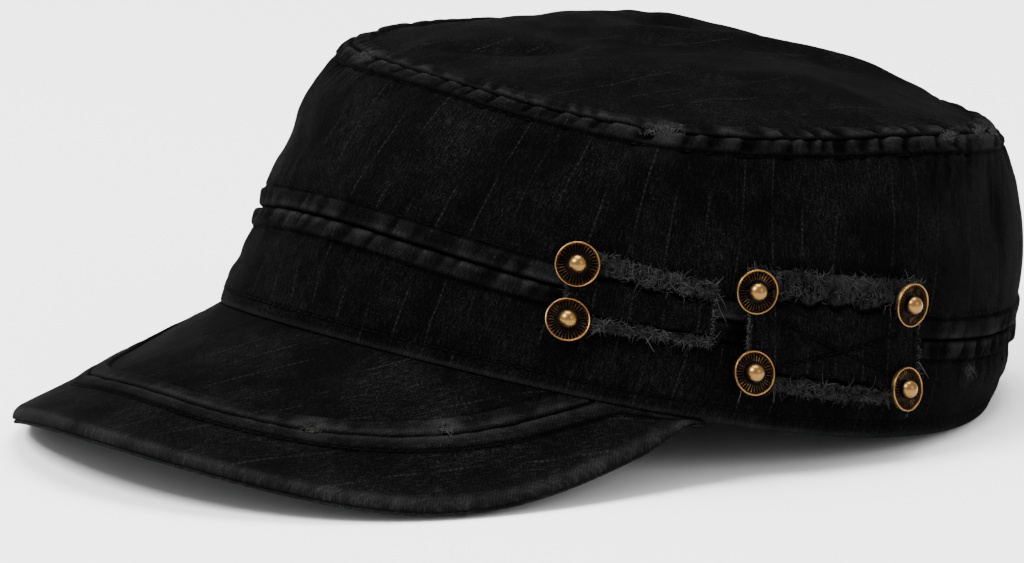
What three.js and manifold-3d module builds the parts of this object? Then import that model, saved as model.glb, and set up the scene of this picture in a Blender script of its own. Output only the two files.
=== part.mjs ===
// A soft flat-topped cadet cap in washed denim, standing on a flat surface as it does by itself:
// the back of the rim and both sides of the drooping peak touch the surface.
// Millimetres. The wearer faces -Y, the wearer's left is +X and +Z is up.
// The pieces: crown_top, crown_side and crown_band are sewn cloth walls; peak_base is the board in its
// lower cloth, with peak_panel and peak_border as its two-piece upper cloth; front_tab and rear_patch are
// raw-edged cloth pieces on the wearer's left; rivet_1 to rivet_6 hold them down.
import * as THREE from "three";
import { mergeVertices } from "three/addons/utils/BufferGeometryUtils.js";
import Module from "manifold-3d";

const wasm = await Module();
wasm.setup();

// Driving sizes of the crown
const CROWN_LENGTH = 202; // front to back, outside, at the rim
const CROWN_WIDTH = 176; // side to side, outside, at the rim
const CROWN_HEIGHT = 88; // surface to the front of the top seam
const CROWN_LEAN = 4; // how far the top sinks at the wearer's left and rises at the right
const TOP_PUFF = 11.2; // rise of the top panel's middle above its seam
const CLOTH_WALL = 2; // side and top cloth with its lining
const BAND_WALL = 2.6; // the doubled band
const SEAM_GAP = 0.35; // clearance between sewn neighbours
const SEAM_RIDGE = 0.9; // height of the topstitched allowance beside a seam
const SEAM_STRIP = 5; // width of that allowance

// Driving sizes of the peak
const PEAK_LENGTH = 61.7; // crown to front edge along the middle, in plan
const PEAK_SWEEP = 194; // width of the ellipse that the front of its outline follows
const PEAK_DRAW_IN = 5.4; // how late the outline's sides are drawn in to its ends: more is later
const PEAK_REACH_DEG = 68.8; // how far round the rim each end is sewn
const PEAK_SLOPE_DEG = 21; // fall of its edge towards the front
const PEAK_ARCH_AT_CROWN = 86.5; // radius of the arch across its edge, level with the front of the rim
const PEAK_ARCH_AT_EDGE = 104; // radius of that arch at its front
const CORNER_DROOP = 2.8; // how far its right front corner hangs below that arch
const BOARD_THICK = 2.8;
const COVER_THICK = 1.1;
const COVER_GAP = 0.3;
const PEAK_SEAM_INSET = 20.3; // front edge to the seam of the upper cloth
const PEAK_SEAM_SWEEP = 140; // width of the oval that the seam follows
const PEAK_SEAM_SQUARE = 2.34; // exponent of that oval: 2 is an ellipse, more is squarer
const PEAK_SEAM_RIDGE = 0.5; // height of the topstitched strips beside that seam
const EDGE_ROUND = 1.2; // how far the peak's outer edge is rounded

// Driving sizes of the tab, the patch and the rivets
const PATCH_THICK = 1.4;
const PATCH_ABOVE = 5.2; // patch beyond the middles of its rivets, on its four sides
const PATCH_BELOW = 3.5;
const PATCH_AHEAD = 1.4;
const PATCH_BEHIND = 4.5;
const TAB_ABOVE = 4; // tab beyond the middles of its rivets
const TAB_BELOW = 1;
const TAB_AHEAD = 1.6;
const TAB_LENGTH = 34; // rivets to the tab's free end
const RIVET_RADIUS = 5.35;
const RIVET_RIM = 1.1; // height of the disc's raised rim
const RIVET_DISH = 0.7; // height of the disc inside the rim
const DOME_RADIUS = 2.5;
const DOME_HEIGHT = 3.3;
const SHANK_RADIUS = 1.1;
const SHANK_CLEARANCE = 0.3;
const BURR_RADIUS = 3.2;
const BURR_THICK = 0.8;

// How finely the cloth is faceted
const ROUND_STEPS = 72;
const PEAK_STEPS = 36;

// Rows of numbers as records with named columns
const recordOf = (columns, row) => Object.fromEntries(row.map((value, i) => [columns[i], value]));
const tableOf = (columns, rows) => rows.map((row) => recordOf(columns, row));

// Sections of the crown from the rim (level 0) over the band seam (1) to the top seam (2).
// Plan sizes are shares of half the crown's length or width, and set_back a share of half its length.
// The last five columns are heights at the front, at each 45 degrees and at the back, as shares of the
// crown's height.
const SECTIONS = tableOf(
  ["level", "half_length", "half_width", "set_back", "square",
   "front", "front_quarter", "side", "rear_quarter", "rear"],
  [
    [0, 1, 1, -0.017, 1.98, 0.357, 0.2625, 0.084, 0, 0],
    [0.5, 1.008, 0.992, 0.036, 1.98, 0.502, 0.392, 0.2125, 0.109, 0.117],
    [1, 0.993, 0.954, 0.087, 1.98, 0.641, 0.5125, 0.339, 0.227, 0.241],
    [1.35, 0.962, 0.948, 0.113, 2.04, 0.7625, 0.66, 0.528, 0.419, 0.42],
    [1.65, 0.902, 0.915, 0.141, 2.12, 0.882, 0.8, 0.707, 0.617, 0.608],
    [1.86, 0.838, 0.872, 0.16, 2.22, 0.964, 0.899, 0.83, 0.737, 0.7],
    [2, 0.787, 0.818, 0.178, 2.28, 1, 0.9545, 0.9, 0.812, 0.765],
  ],
);

// Soft dents (depth above 0) and swells (below 0) of the crown's wall. Depth is a share of CROWN_HEIGHT,
// angle is measured from the front towards the wearer's left, and the spreads are half-widths.
const WALL_DENTS = tableOf(
  ["angle", "level", "spread_angle", "spread_level", "depth"],
  [
    [-38, 1.42, 16, 0.14, 0.02],
    [12, 1.5, 14, 0.3, 0.015],
    [60, 1.55, 20, 0.25, 0.018],
    [118, 1.6, 9, 0.3, 0.016],
    [150, 1.45, 12, 0.3, -0.015],
    [190, 1.6, 14, 0.3, 0.02],
    [245, 1.5, 18, 0.28, 0.018],
    [285, 1.6, 10, 0.3, -0.012],
  ],
);

// Folds of the top panel: straight ridges (height above 0) and valleys (below 0) between two places in plan.
// Places are shares of half the crown's width and length from the panel's middle, and the other columns are
// shares of the crown's height.
const TOP_FOLDS = tableOf(
  ["from_x", "from_y", "to_x", "to_y", "spread", "height"],
  [
    [-0.05, -0.1, 0.2, 0.62, 0.07, 0.026],
    [-0.2, 0.1, -0.02, 0.66, 0.08, -0.03],
    [-0.42, 0.2, -0.18, 0.6, 0.08, 0.02],
    [-0.15, -0.58, 0.02, -0.4, 0.06, -0.022],
    [0.3, -0.3, 0.5, 0.1, 0.12, 0.016],
    [-0.35, 0.05, 0, 0.4, 0.25, 0.03],
  ],
);

// Places of the rivets' middles on the wall, as angles at the higher row. slant is the turn back, in degrees
// for one whole level down, and taper the share of its height that a piece loses at its rear end.
const [FRONT_TAB, REAR_PATCH] = tableOf(
  ["name", "from_angle", "to_angle", "low", "high", "slant", "taper"],
  [
    ["front_tab", 43.9, 43.9, 0.666, 1.188, 1.8, 0.22],
    ["rear_patch", 69.5, 95.2, 0.51, 1.21, 2.7, 0],
  ],
);
const RIVETS = [
  [FRONT_TAB, FRONT_TAB.from_angle],
  [REAR_PATCH, REAR_PATCH.from_angle],
  [REAR_PATCH, REAR_PATCH.to_angle],
].flatMap(([{ low, high, slant }, angle]) => [
  { angle, level: high },
  { angle: angle + slant * (high - low), level: low },
]);

const radians = THREE.MathUtils.degToRad;
const HALF_LENGTH = CROWN_LENGTH / 2;
const HALF_WIDTH = CROWN_WIDTH / 2;
const HEIGHT_COLUMNS = ["front", "front_quarter", "side", "rear_quarter", "rear"];
const RIM_LEVEL = 0;
const BAND_SEAM_LEVEL = 1;
const TOP_SEAM_LEVEL = 2;

// A column of SECTIONS at any level, by a smooth curve through its rows.
function column(key, level) {
  const rows = SECTIONS;
  let i = rows.findIndex((row) => row.level >= level);
  i = Math.min(Math.max(i, 1), rows.length - 1);
  const tangent = (k) => {
    const before = rows[Math.max(k - 1, 0)];
    const after = rows[Math.min(k + 1, rows.length - 1)];
    return (after[key] - before[key]) / (after.level - before.level);
  };
  const [low, high] = [rows[i - 1], rows[i]];
  const span = high.level - low.level;
  const t = (level - low.level) / span;
  const [t2, t3] = [t * t, t * t * t];
  return (
    (2 * t3 - 3 * t2 + 1) * low[key] +
    (t3 - 2 * t2 + t) * span * tangent(i - 1) +
    (3 * t2 - 2 * t3) * high[key] +
    (t3 - t2) * span * tangent(i)
  );
}

// The five heights of a section as a cosine series, so that a ring is smooth all the way round.
function heightTerms(level) {
  const last = HEIGHT_COLUMNS.length - 1;
  const endHalf = (k) => (k === 0 || k === last ? 0.5 : 1);
  const heights = HEIGHT_COLUMNS.map((key) => column(key, level) * CROWN_HEIGHT);
  return heights.map((_, k) => {
    const wave = (j) => Math.cos((k * j * Math.PI) / last);
    const sum = heights.reduce((total, height, j) => total + endHalf(j) * height * wave(j), 0);
    return (2 / last) * endHalf(k) * sum;
  });
}

const signedPower = (v, power) => Math.sign(v) * Math.abs(v) ** power;

// A point of the crown's ring at a level. The height eases to the surface that the rim's back rests on.
function ringPoint(angle, level) {
  const power = 2 / column("square", level);
  const x = column("half_width", level) * HALF_WIDTH * signedPower(Math.sin(angle), power);
  const back = column("set_back", level) * HALF_LENGTH;
  const y = back - column("half_length", level) * HALF_LENGTH * signedPower(Math.cos(angle), power);
  const series = heightTerms(level).reduce((total, term, k) => total + term * Math.cos(k * angle), 0);
  const lean = CROWN_LEAN * Math.max(0, level - BAND_SEAM_LEVEL) * Math.sin(angle);
  return new THREE.Vector3(x, y, Math.max(0, series - lean));
}

const bell = (v) => Math.exp(-v * v);

const FULL_TURN = 2 * Math.PI;

function dentDepth(angle, level) {
  return WALL_DENTS.reduce((total, dent) => {
    const past = THREE.MathUtils.euclideanModulo(angle - radians(dent.angle), FULL_TURN);
    const turn = past > Math.PI ? past - FULL_TURN : past;
    const away = bell(turn / radians(dent.spread_angle)) * bell((level - dent.level) / dent.spread_level);
    return total + dent.depth * CROWN_HEIGHT * away;
  }, 0);
}

// The wall with its dents, before the seam ridges are added.
function wallPoint(angle, level) {
  const point = ringPoint(angle, level);
  const outward = new THREE.Vector3(Math.sin(angle) / HALF_WIDTH, -Math.cos(angle) / HALF_LENGTH, 0);
  return point.addScaledVector(outward.normalize(), -dentDepth(angle, level));
}

const SMALL_TURN = 0.01;
const SMALL_LEVEL = 0.01;

// The wall's outward normal, from two short steps on it. At the rim it is level, so that the hem stays flat.
function wallNormal(angle, level) {
  const inside = THREE.MathUtils.clamp(level, SMALL_LEVEL, TOP_SEAM_LEVEL - SMALL_LEVEL);
  const around = wallPoint(angle + SMALL_TURN, inside).sub(wallPoint(angle - SMALL_TURN, inside));
  const up = wallPoint(angle, inside + SMALL_LEVEL).sub(wallPoint(angle, inside - SMALL_LEVEL));
  const normal = around.cross(up).normalize();
  if (level < 2 * SMALL_LEVEL) normal.setZ(0).normalize();
  return normal;
}

// Width of one whole level in millimetres, near a place on the wall.
function levelSpan(angle, level) {
  const low = Math.max(RIM_LEVEL, level - 5 * SMALL_LEVEL);
  const high = Math.min(TOP_SEAM_LEVEL, level + 5 * SMALL_LEVEL);
  return wallPoint(angle, high).distanceTo(wallPoint(angle, low)) / (high - low);
}

const ease = (edge0, edge1, v) => THREE.MathUtils.smoothstep(v, edge0, edge1);

// Outward height of the topstitched strips beside the band seam and under the top seam.
function ridge(angle, level) {
  const stripLevels = SEAM_STRIP / levelSpan(angle, level);
  const strips = [
    [BAND_SEAM_LEVEL - stripLevels, BAND_SEAM_LEVEL],
    [BAND_SEAM_LEVEL, BAND_SEAM_LEVEL + stripLevels],
    [TOP_SEAM_LEVEL - stripLevels, TOP_SEAM_LEVEL],
  ];
  const slope = stripLevels / 4;
  return strips.reduce((height, [from, to]) => {
    const inside = ease(from - slope, from, level) * (1 - ease(to, to + slope / 2, level));
    return Math.max(height, SEAM_RIDGE * inside);
  }, 0);
}

const wallOut = (angle, level, out) => wallPoint(angle, level).addScaledVector(wallNormal(angle, level), out);

// The top panel. share is 1 at the seam and 0 in the middle; the seam's height runs across as a membrane.
const TOP_TERMS = heightTerms(TOP_SEAM_LEVEL);
const TOP_MIDDLE_Y = column("set_back", TOP_SEAM_LEVEL) * HALF_LENGTH;

function foldHeight(x, y) {
  return TOP_FOLDS.reduce((total, fold) => {
    const from = new THREE.Vector2(fold.from_x * HALF_WIDTH, fold.from_y * HALF_LENGTH);
    const line = new THREE.Vector2(fold.to_x * HALF_WIDTH, fold.to_y * HALF_LENGTH).sub(from);
    const place = new THREE.Vector2(x, y).sub(from);
    const along = THREE.MathUtils.clamp(place.dot(line) / line.lengthSq(), 0, 1);
    const away = place.addScaledVector(line, -along).length();
    return total + fold.height * CROWN_HEIGHT * bell(away / (fold.spread * CROWN_HEIGHT));
  }, 0);
}

function topPoint(angle, share) {
  const seam = ringPoint(angle, TOP_SEAM_LEVEL);
  const x = seam.x * share;
  const y = TOP_MIDDLE_Y + (seam.y - TOP_MIDDLE_Y) * share;
  const series = TOP_TERMS.reduce((total, term, k) => total + term * share ** k * Math.cos(k * angle), 0);
  const lean = CROWN_LEAN * share * Math.sin(angle);
  const free = 1 - share ** 2;
  const folds = foldHeight(x, y - TOP_MIDDLE_Y) * Math.min(1, 2 * free);
  return new THREE.Vector3(x, y, series - lean + TOP_PUFF * free + folds);
}

function topNormal(angle, share) {
  const around = topPoint(angle + SMALL_TURN, share).sub(topPoint(angle - SMALL_TURN, share));
  const inward = topPoint(angle, share - SMALL_LEVEL).sub(topPoint(angle, share + SMALL_LEVEL));
  return around.cross(inward).normalize();
}

// Closed solids from grids of points

// Joins rows of points into one closed skin. Rows run on from each other; each row is a closed ring, or,
// where open is true, a strip whose two ends are capped. The last row joins the first, and every
// four-cornered field is split along its shorter diagonal, so that nested sheets are split alike.
function loftedSolid(rows, open = false) {
  const [count, width] = [rows.length, rows[0].length];
  const points = rows.flat();
  const position = points.flatMap((p) => [p.x, p.y, p.z]);
  const index = [];
  const at = (row, i) => (row % count) * width + (i % width);
  const steps = open ? width - 1 : width;
  for (let row = 0; row < count; row++)
    for (let i = 0; i < steps; i++) {
      const corners = [at(row, i), at(row, i + 1), at(row + 1, i + 1), at(row + 1, i)];
      const [a, b, c, d] = corners.map((k) => points[k]);
      const turned = b.distanceTo(d) < a.distanceTo(c) - 1e-6 ? 1 : 0;
      for (const face of [[0, 1, 2], [0, 2, 3]]) index.push(...face.map((k) => corners[(k + turned) % 4]));
    }
  if (open)
    for (let row = 0; row < Math.floor(count / 2); row++) {
      const across = count - 1 - row;
      if (across - row < 1) break;
      for (const [i, turned] of [[0, false], [width - 1, true]]) {
        const corners = [at(row, i), at(row + 1, i), at(across - 1, i), at(across, i)];
        const faces = [[0, 1, 2], [0, 2, 3]].map((face) => face.map((k) => corners[k]));
        const whole = faces.filter((face) => new Set(face).size === 3);
        for (const face of whole) index.push(...(turned ? face.toReversed() : face));
      }
    }
  return facetedSolid(position, index);
}

// A manifold solid from loose triangles, turned so that its faces point outwards.
function facetedSolid(position, index) {
  const raw = new THREE.BufferGeometry();
  raw.setAttribute("position", new THREE.Float32BufferAttribute(position, 3));
  raw.setIndex(index);
  return solidFrom(raw);
}

function solidFrom(geometry) {
  const bare = geometry.clone();
  bare.deleteAttribute("normal");
  bare.deleteAttribute("uv");
  const merged = mergeVertices(bare, 1e-3);
  const triVerts = [];
  for (let i = 0; i < merged.index.count; i += 3) {
    const face = [0, 1, 2].map((k) => merged.index.array[i + k]);
    if (new Set(face).size === 3) triVerts.push(...face);
  }
  const vertProperties = merged.attributes.position.array;
  const make = (faces) =>
    new wasm.Manifold(new wasm.Mesh({ numProp: 3, vertProperties, triVerts: new Uint32Array(faces) }));
  const solid = make(triVerts);
  if (solid.volume() > 0) return solid;
  return make(triVerts.toReversed());
}

function meshOf(name, solid, material) {
  const made = solid.getMesh();
  const geometry = new THREE.BufferGeometry();
  geometry.setAttribute("position", new THREE.Float32BufferAttribute(Array.from(made.vertProperties), 3));
  geometry.setIndex(Array.from(made.triVerts));
  geometry.computeVertexNormals();
  const mesh = new THREE.Mesh(geometry, material);
  mesh.name = name;
  return mesh;
}

const turns = Array.from({ length: ROUND_STEPS }, (_, i) => (i / ROUND_STEPS) * FULL_TURN);
const ringOf = (pointAt) => turns.map(pointAt);

// Crown walls

// A wall between two levels: outer levels upwards, then inner levels downwards. Its two ends keep half of
// the seam's gap, except the hem, which is the crown's own edge.
function wallSolid(outerLevels, innerLevels, thick) {
  const place = (angle, level) => {
    const half = SEAM_GAP / 2 / levelSpan(angle, level);
    const isSeam = Number.isInteger(level) && level > RIM_LEVEL;
    const from = outerLevels[0];
    return isSeam ? level + (level === from ? half : -half) : level;
  };
  const outer = outerLevels.map((level) =>
    ringOf((angle) => wallOut(angle, place(angle, level), ridge(angle, place(angle, level)))),
  );
  const inner = innerLevels.map((level) =>
    ringOf((angle) => {
      const straight = wallNormal(angle, level).multiplyScalar(-thick);
      const inward = level === TOP_SEAM_LEVEL ? mitreOffset(angle, thick) : straight;
      return wallPoint(angle, place(angle, level)).add(inward);
    }),
  );
  return loftedSolid([...outer, ...inner]);
}

// The inner corner of the top seam lies where the offset wall and the offset top panel meet.
function mitreOffset(angle, thick) {
  const wall = wallNormal(angle, TOP_SEAM_LEVEL);
  const panel = topNormal(angle, 1 - SMALL_LEVEL);
  const mitre = wall.clone().add(panel);
  return mitre.multiplyScalar(-thick / (1 + wall.dot(panel)));
}

function bandLevels() {
  const strip = SEAM_STRIP / levelSpan(0, BAND_SEAM_LEVEL);
  return [0, 0.12, 0.4, 0.62, BAND_SEAM_LEVEL - 1.25 * strip, BAND_SEAM_LEVEL - strip, BAND_SEAM_LEVEL];
}

function sideLevels() {
  const lowStrip = SEAM_STRIP / levelSpan(Math.PI / 2, BAND_SEAM_LEVEL + 0.1);
  const highStrip = SEAM_STRIP / levelSpan(Math.PI / 2, TOP_SEAM_LEVEL - 0.1);
  return [
    BAND_SEAM_LEVEL,
    BAND_SEAM_LEVEL + lowStrip,
    BAND_SEAM_LEVEL + 1.2 * lowStrip,
    1.35,
    1.52,
    1.7,
    TOP_SEAM_LEVEL - 1.3 * highStrip,
    TOP_SEAM_LEVEL - highStrip,
    TOP_SEAM_LEVEL,
  ];
}

// The top panel as a closed skin: outer rings inwards to the middle, then the inner rings outwards.
function topSolid() {
  const seamShare = 1 - SEAM_GAP / HALF_WIDTH;
  const stripShare = 1 - SEAM_STRIP / (HALF_WIDTH * column("half_width", TOP_SEAM_LEVEL));
  const outerShares = [seamShare, stripShare, stripShare - 0.03, 0.76, 0.6, 0.44, 0.28, 0.13];
  const innerShares = [0.2, 0.45, 0.7, 0.88, seamShare];
  const ridgeAt = (share) => (share >= stripShare ? SEAM_RIDGE * 0.8 : 0);
  const outer = outerShares.map((share) =>
    ringOf((angle) => {
      const lift = share === seamShare ? 0 : ridgeAt(share);
      return topPoint(angle, share).addScaledVector(topNormal(angle, Math.min(share, 1 - SMALL_LEVEL)), lift);
    }),
  );
  const inner = innerShares.map((share) =>
    ringOf((angle) => {
      const straight = topNormal(angle, share).multiplyScalar(-CLOTH_WALL);
      return topPoint(angle, share).add(share === seamShare ? mitreOffset(angle, CLOTH_WALL) : straight);
    }),
  );
  const middle = topPoint(0, 0);
  return cappedSolid(outer, middle, inner, middle.clone().setZ(middle.z - CLOTH_WALL));
}

// Rings from the rim in to a middle point, and from another middle point back out to the rim.
function cappedSolid(outer, outerMiddle, inner, innerMiddle) {
  const rows = [...outer, ...inner];
  const width = rows[0].length;
  const position = [...rows.flat(), outerMiddle, innerMiddle].flatMap((p) => [p.x, p.y, p.z]);
  const index = [];
  const at = (row, i) => row * width + (i % width);
  const quad = (a, b, c, d) => index.push(a, b, c, a, c, d);
  const [outerPole, innerPole] = [rows.length * width, rows.length * width + 1];
  for (let i = 0; i < width; i++) {
    for (let row = 0; row < outer.length - 1; row++)
      quad(at(row, i), at(row, i + 1), at(row + 1, i + 1), at(row + 1, i));
    index.push(at(outer.length - 1, i), at(outer.length - 1, i + 1), outerPole);
    index.push(innerPole, at(outer.length, i + 1), at(outer.length, i));
    for (let row = outer.length; row < rows.length - 1; row++)
      quad(at(row, i), at(row, i + 1), at(row + 1, i + 1), at(row + 1, i));
    quad(at(rows.length - 1, i), at(rows.length - 1, i + 1), at(0, i + 1), at(0, i));
  }
  return facetedSolid(position, index);
}

// Peak: places on it are a direction from a middle point between its two ends, and a distance in plan

const PEAK_END = ringPoint(radians(PEAK_REACH_DEG), RIM_LEVEL);
const PEAK_MIDDLE_Y = PEAK_END.y;
const RIM_FRONT_Y = ringPoint(0, RIM_LEVEL).y;
const OUTLINE_LENGTH = PEAK_MIDDLE_Y - (RIM_FRONT_Y - PEAK_LENGTH);

// Share of a right-hand outline, from 0 in front to 1 at its end, that lies in a direction from the peak's
// middle point, by halving.
function shareSeen(direction, placeAt) {
  let [near, far] = [0, 1];
  for (let step = 0; step < 40; step++) {
    const half = (near + far) / 2;
    const { x, y } = placeAt(half);
    if (Math.atan2(x, PEAK_MIDDLE_Y - y) < Math.abs(direction)) near = half;
    else far = half;
  }
  return (near + far) / 2;
}

function reachSeen(direction, placeAt) {
  const { x, y } = placeAt(shareSeen(direction, placeAt));
  return Math.hypot(x, PEAK_MIDDLE_Y - y);
}

function edgePlace(share) {
  const across = Math.sin((share * Math.PI) / 2);
  const drawnIn = 1 - (1 - (2 * PEAK_END.x) / PEAK_SWEEP) * across ** PEAK_DRAW_IN;
  const x = (PEAK_SWEEP / 2) * across * drawnIn;
  return { x, y: PEAK_MIDDLE_Y - OUTLINE_LENGTH * Math.cos((share * Math.PI) / 2) };
}

function seamPlace(share) {
  const power = 2 / PEAK_SEAM_SQUARE;
  const across = Math.sin((share * Math.PI) / 2) ** power;
  const ahead = Math.cos((share * Math.PI) / 2) ** power;
  return { x: (PEAK_SEAM_SWEEP / 2) * across, y: PEAK_MIDDLE_Y - (OUTLINE_LENGTH - PEAK_SEAM_INSET) * ahead };
}

const edgeReach = (direction) => reachSeen(direction, edgePlace);
const seamReach = (direction) => reachSeen(direction, seamPlace);
const rimReach = (direction, inset) =>
  reachSeen(direction, (share) => wallOut(share * radians(PEAK_REACH_DEG), RIM_LEVEL, -inset));

// Angle round the rim of a place in plan on it or just inside it.
function rimAngleAt({ x, y }) {
  const power = column("square", RIM_LEVEL) / 2;
  const back = column("set_back", RIM_LEVEL) * HALF_LENGTH;
  return Math.atan2(signedPower(x / HALF_WIDTH, power), signedPower((back - y) / HALF_LENGTH, power));
}

// Place and spread of the drooping corner, as shares of the outline's width and the peak's length
const DROOP_ASIDE = 0.27;
const DROOP_AHEAD = 0.7;
const DROOP_SPREAD = 0.5;

// Height of the arched and sloping sheet in which the peak's edge lies
function archHeight({ x, y }) {
  const ahead = RIM_FRONT_Y - y;
  const bend = THREE.MathUtils.lerp(1 / PEAK_ARCH_AT_CROWN, 1 / PEAK_ARCH_AT_EDGE, ahead / PEAK_LENGTH);
  const corner = Math.hypot(x + DROOP_ASIDE * PEAK_SWEEP, ahead - DROOP_AHEAD * PEAK_LENGTH);
  const droop = CORNER_DROOP * bell(corner / (DROOP_SPREAD * PEAK_LENGTH));
  return -Math.tan(radians(PEAK_SLOPE_DEG)) * ahead - (x * x * bend) / 2 - droop;
}

const planPlace = (direction, reach) => ({
  x: reach * Math.sin(direction),
  y: PEAK_MIDDLE_Y - reach * Math.cos(direction),
});

const PEAK_DIRECTIONS = Array.from({ length: PEAK_STEPS + 1 }, (_, i) => {
  const share = (2 * i) / PEAK_STEPS - 1;
  return radians(88) * share;
});
const PEAK_THICK = BOARD_THICK + COVER_GAP + COVER_THICK;

// The sheet is set so that the lowest place of the peak's edge touches the surface.
const LOWEST_ARCH = Math.min(
  ...PEAK_DIRECTIONS.map((direction) => archHeight(planPlace(direction, edgeReach(direction)))),
);

// Top surface of the peak: straight lines from under the hem of the band out to its arched edge.
function peakTop(direction, reach) {
  const [rim, edge] = [rimReach(direction, 0), edgeReach(direction)];
  const tucked = planPlace(direction, Math.min(reach, rim));
  const hem = ringPoint(rimAngleAt(tucked), RIM_LEVEL).z - SEAM_GAP;
  const edgeHeight = archHeight(planPlace(direction, edge)) - LOWEST_ARCH + PEAK_THICK;
  const away = THREE.MathUtils.clamp((reach - rim) / Math.max(edge - rim, PEAK_THICK), 0, 1);
  const { x, y } = planPlace(direction, reach);
  return new THREE.Vector3(x, y, THREE.MathUtils.lerp(hem, edgeHeight, away));
}

// Height of the topstitched strips on both sides of the upper cloth's seam, run out before the band.
function peakRidge(direction, reach, onStrip) {
  const fromBand = reach - rimReach(direction, 0);
  return onStrip ? PEAK_SEAM_RIDGE * ease(1, SEAM_STRIP, fromBand) : 0;
}

// Rows of the peak from under the band out to its edge. Its pieces share them, so that they nest.
const PEAK_ROWS = [
  { piece: "panel", share: 0 },
  { piece: "panel", share: 0.45 },
  { piece: "panel", share: 0.86, strip: true },
  { piece: "panel", share: 1, strip: true },
  { piece: "border", share: 0, strip: true },
  { piece: "border", share: 0.24, strip: true },
  { piece: "border", share: 0.36 },
  { piece: "border", share: 0.7 },
  { piece: "border", share: 1 },
];
const underBand = (direction) => rimReach(direction, BAND_WALL);

function rowReach(direction, { piece, share }) {
  const near = underBand(direction);
  const seam = Math.max(seamReach(direction), near);
  if (piece === "panel") return near + (seam - near - SEAM_GAP / 2) * share;
  return seam + SEAM_GAP / 2 + (edgeReach(direction) - seam - SEAM_GAP / 2) * share;
}

// A sheet of the peak over some of its rows. Its faces lie at two depths under the peak's top surface, and
// where it ends at the peak's edge, that edge is rounded.
function peakSheet(directions, rows, upper, lower) {
  const line = (row, depthAt, pull) =>
    directions.map((direction) => {
      const reach = Math.max(rowReach(direction, row) - pull, underBand(direction));
      return peakTop(direction, reach).add(new THREE.Vector3(0, 0, -depthAt(direction, reach)));
    });
  const onEdge = (row) => row.piece === "border" && row.share === 1;
  const pull = (row) => (onEdge(row) ? EDGE_ROUND / 2 : 0);
  const top = (row) => (direction, reach) =>
    upper - (upper === 0 ? peakRidge(direction, reach, row.strip) : 0);
  const over = rows.map((row) => line(row, top(row), pull(row)));
  const under = rows.toReversed().map((row) => line(row, () => lower, pull(row)));
  const nose = onEdge(rows.at(-1)) ? [line(rows.at(-1), () => (upper + lower) / 2, 0)] : [];
  return loftedSolid([...over, ...nose, ...under], true);
}

const LEAST_PANEL = 1.2; // how far the panel reaches out of the band where it ends
const panelDirections = PEAK_DIRECTIONS.filter(
  (direction) => seamReach(direction) - rimReach(direction, 0) > LEAST_PANEL,
);
const rowsOf = (piece) => PEAK_ROWS.filter((row) => row.piece === piece);

const peakBase = () => peakSheet(PEAK_DIRECTIONS, PEAK_ROWS, COVER_THICK + COVER_GAP, PEAK_THICK);
const peakPanel = () => peakSheet(panelDirections, rowsOf("panel"), 0, COVER_THICK);
const peakBorder = () => peakSheet(PEAK_DIRECTIONS, rowsOf("border"), 0, COVER_THICK);

// Tab and patch

const COVER_LIFT = 0.35; // clearance between the wall and what is sewn on it

// Outward height of the patch's underside: it bridges the band seam's ridge and lies close elsewhere.
function underPatch(angle, level) {
  const strip = (SEAM_STRIP * 1.6) / levelSpan(angle, level);
  const overRidge = 1 - ease(strip, strip * 1.8, Math.abs(level - BAND_SEAM_LEVEL));
  return COVER_LIFT + SEAM_RIDGE * overRidge;
}

const PATCH_COLUMNS = 10;
const PATCH_ROWS = 7;

// Millimetres along the wall for one radian round it, near a place.
const turnSpan = (angle, level) =>
  wallPoint(angle + SMALL_TURN, level).distanceTo(wallPoint(angle, level)) / SMALL_TURN;

// A cloth piece on the wall, from its first rivets' middles backwards over a length, with margins round them.
function patchSolid({ from_angle, low, high, slant, taper }, length, { above, below, ahead, behind }) {
  const start = radians(from_angle);
  const perTurn = turnSpan(start + length / HALF_LENGTH / 2, (low + high) / 2);
  const bottom = low - below / levelSpan(start, low);
  const top = high + above / levelSpan(start, high);
  const place = (column, row) => {
    const along = THREE.MathUtils.lerp(-ahead, length + behind, column / PATCH_COLUMNS);
    const shrink = (taper / 2) * Math.max(0, along / length);
    const share = THREE.MathUtils.lerp(shrink, 1 - shrink, row / (PATCH_ROWS - 1));
    const level = THREE.MathUtils.lerp(bottom, top, share);
    return [start + along / perTurn + radians(slant) * (high - level), level];
  };
  const line = (row, thick) =>
    Array.from({ length: PATCH_COLUMNS + 1 }, (_, column) => {
      const [angle, level] = place(column, row);
      return wallOut(angle, level, underPatch(angle, level) + thick);
    });
  const rowNumbers = Array.from({ length: PATCH_ROWS }, (_, row) => row);
  const over = rowNumbers.map((row) => line(row, PATCH_THICK));
  const under = rowNumbers.toReversed().map((row) => line(row, 0));
  return loftedSolid([...over, ...under], true);
}

const patchLength = () => {
  const { from_angle, to_angle, low, high } = REAR_PATCH;
  const middle = radians((from_angle + to_angle) / 2);
  return radians(to_angle - from_angle) * turnSpan(middle, (low + high) / 2);
};
const tabSolid = () =>
  patchSolid(FRONT_TAB, TAB_LENGTH, { above: TAB_ABOVE, below: TAB_BELOW, ahead: TAB_AHEAD, behind: 0 });
const rearPatchSolid = () =>
  patchSolid(REAR_PATCH, patchLength(), {
    above: PATCH_ABOVE,
    below: PATCH_BELOW,
    ahead: PATCH_AHEAD,
    behind: PATCH_BEHIND,
  });

const LOOK_DISTANCE = 30; // from the wall, well inside the hollow or outside the cap

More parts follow.
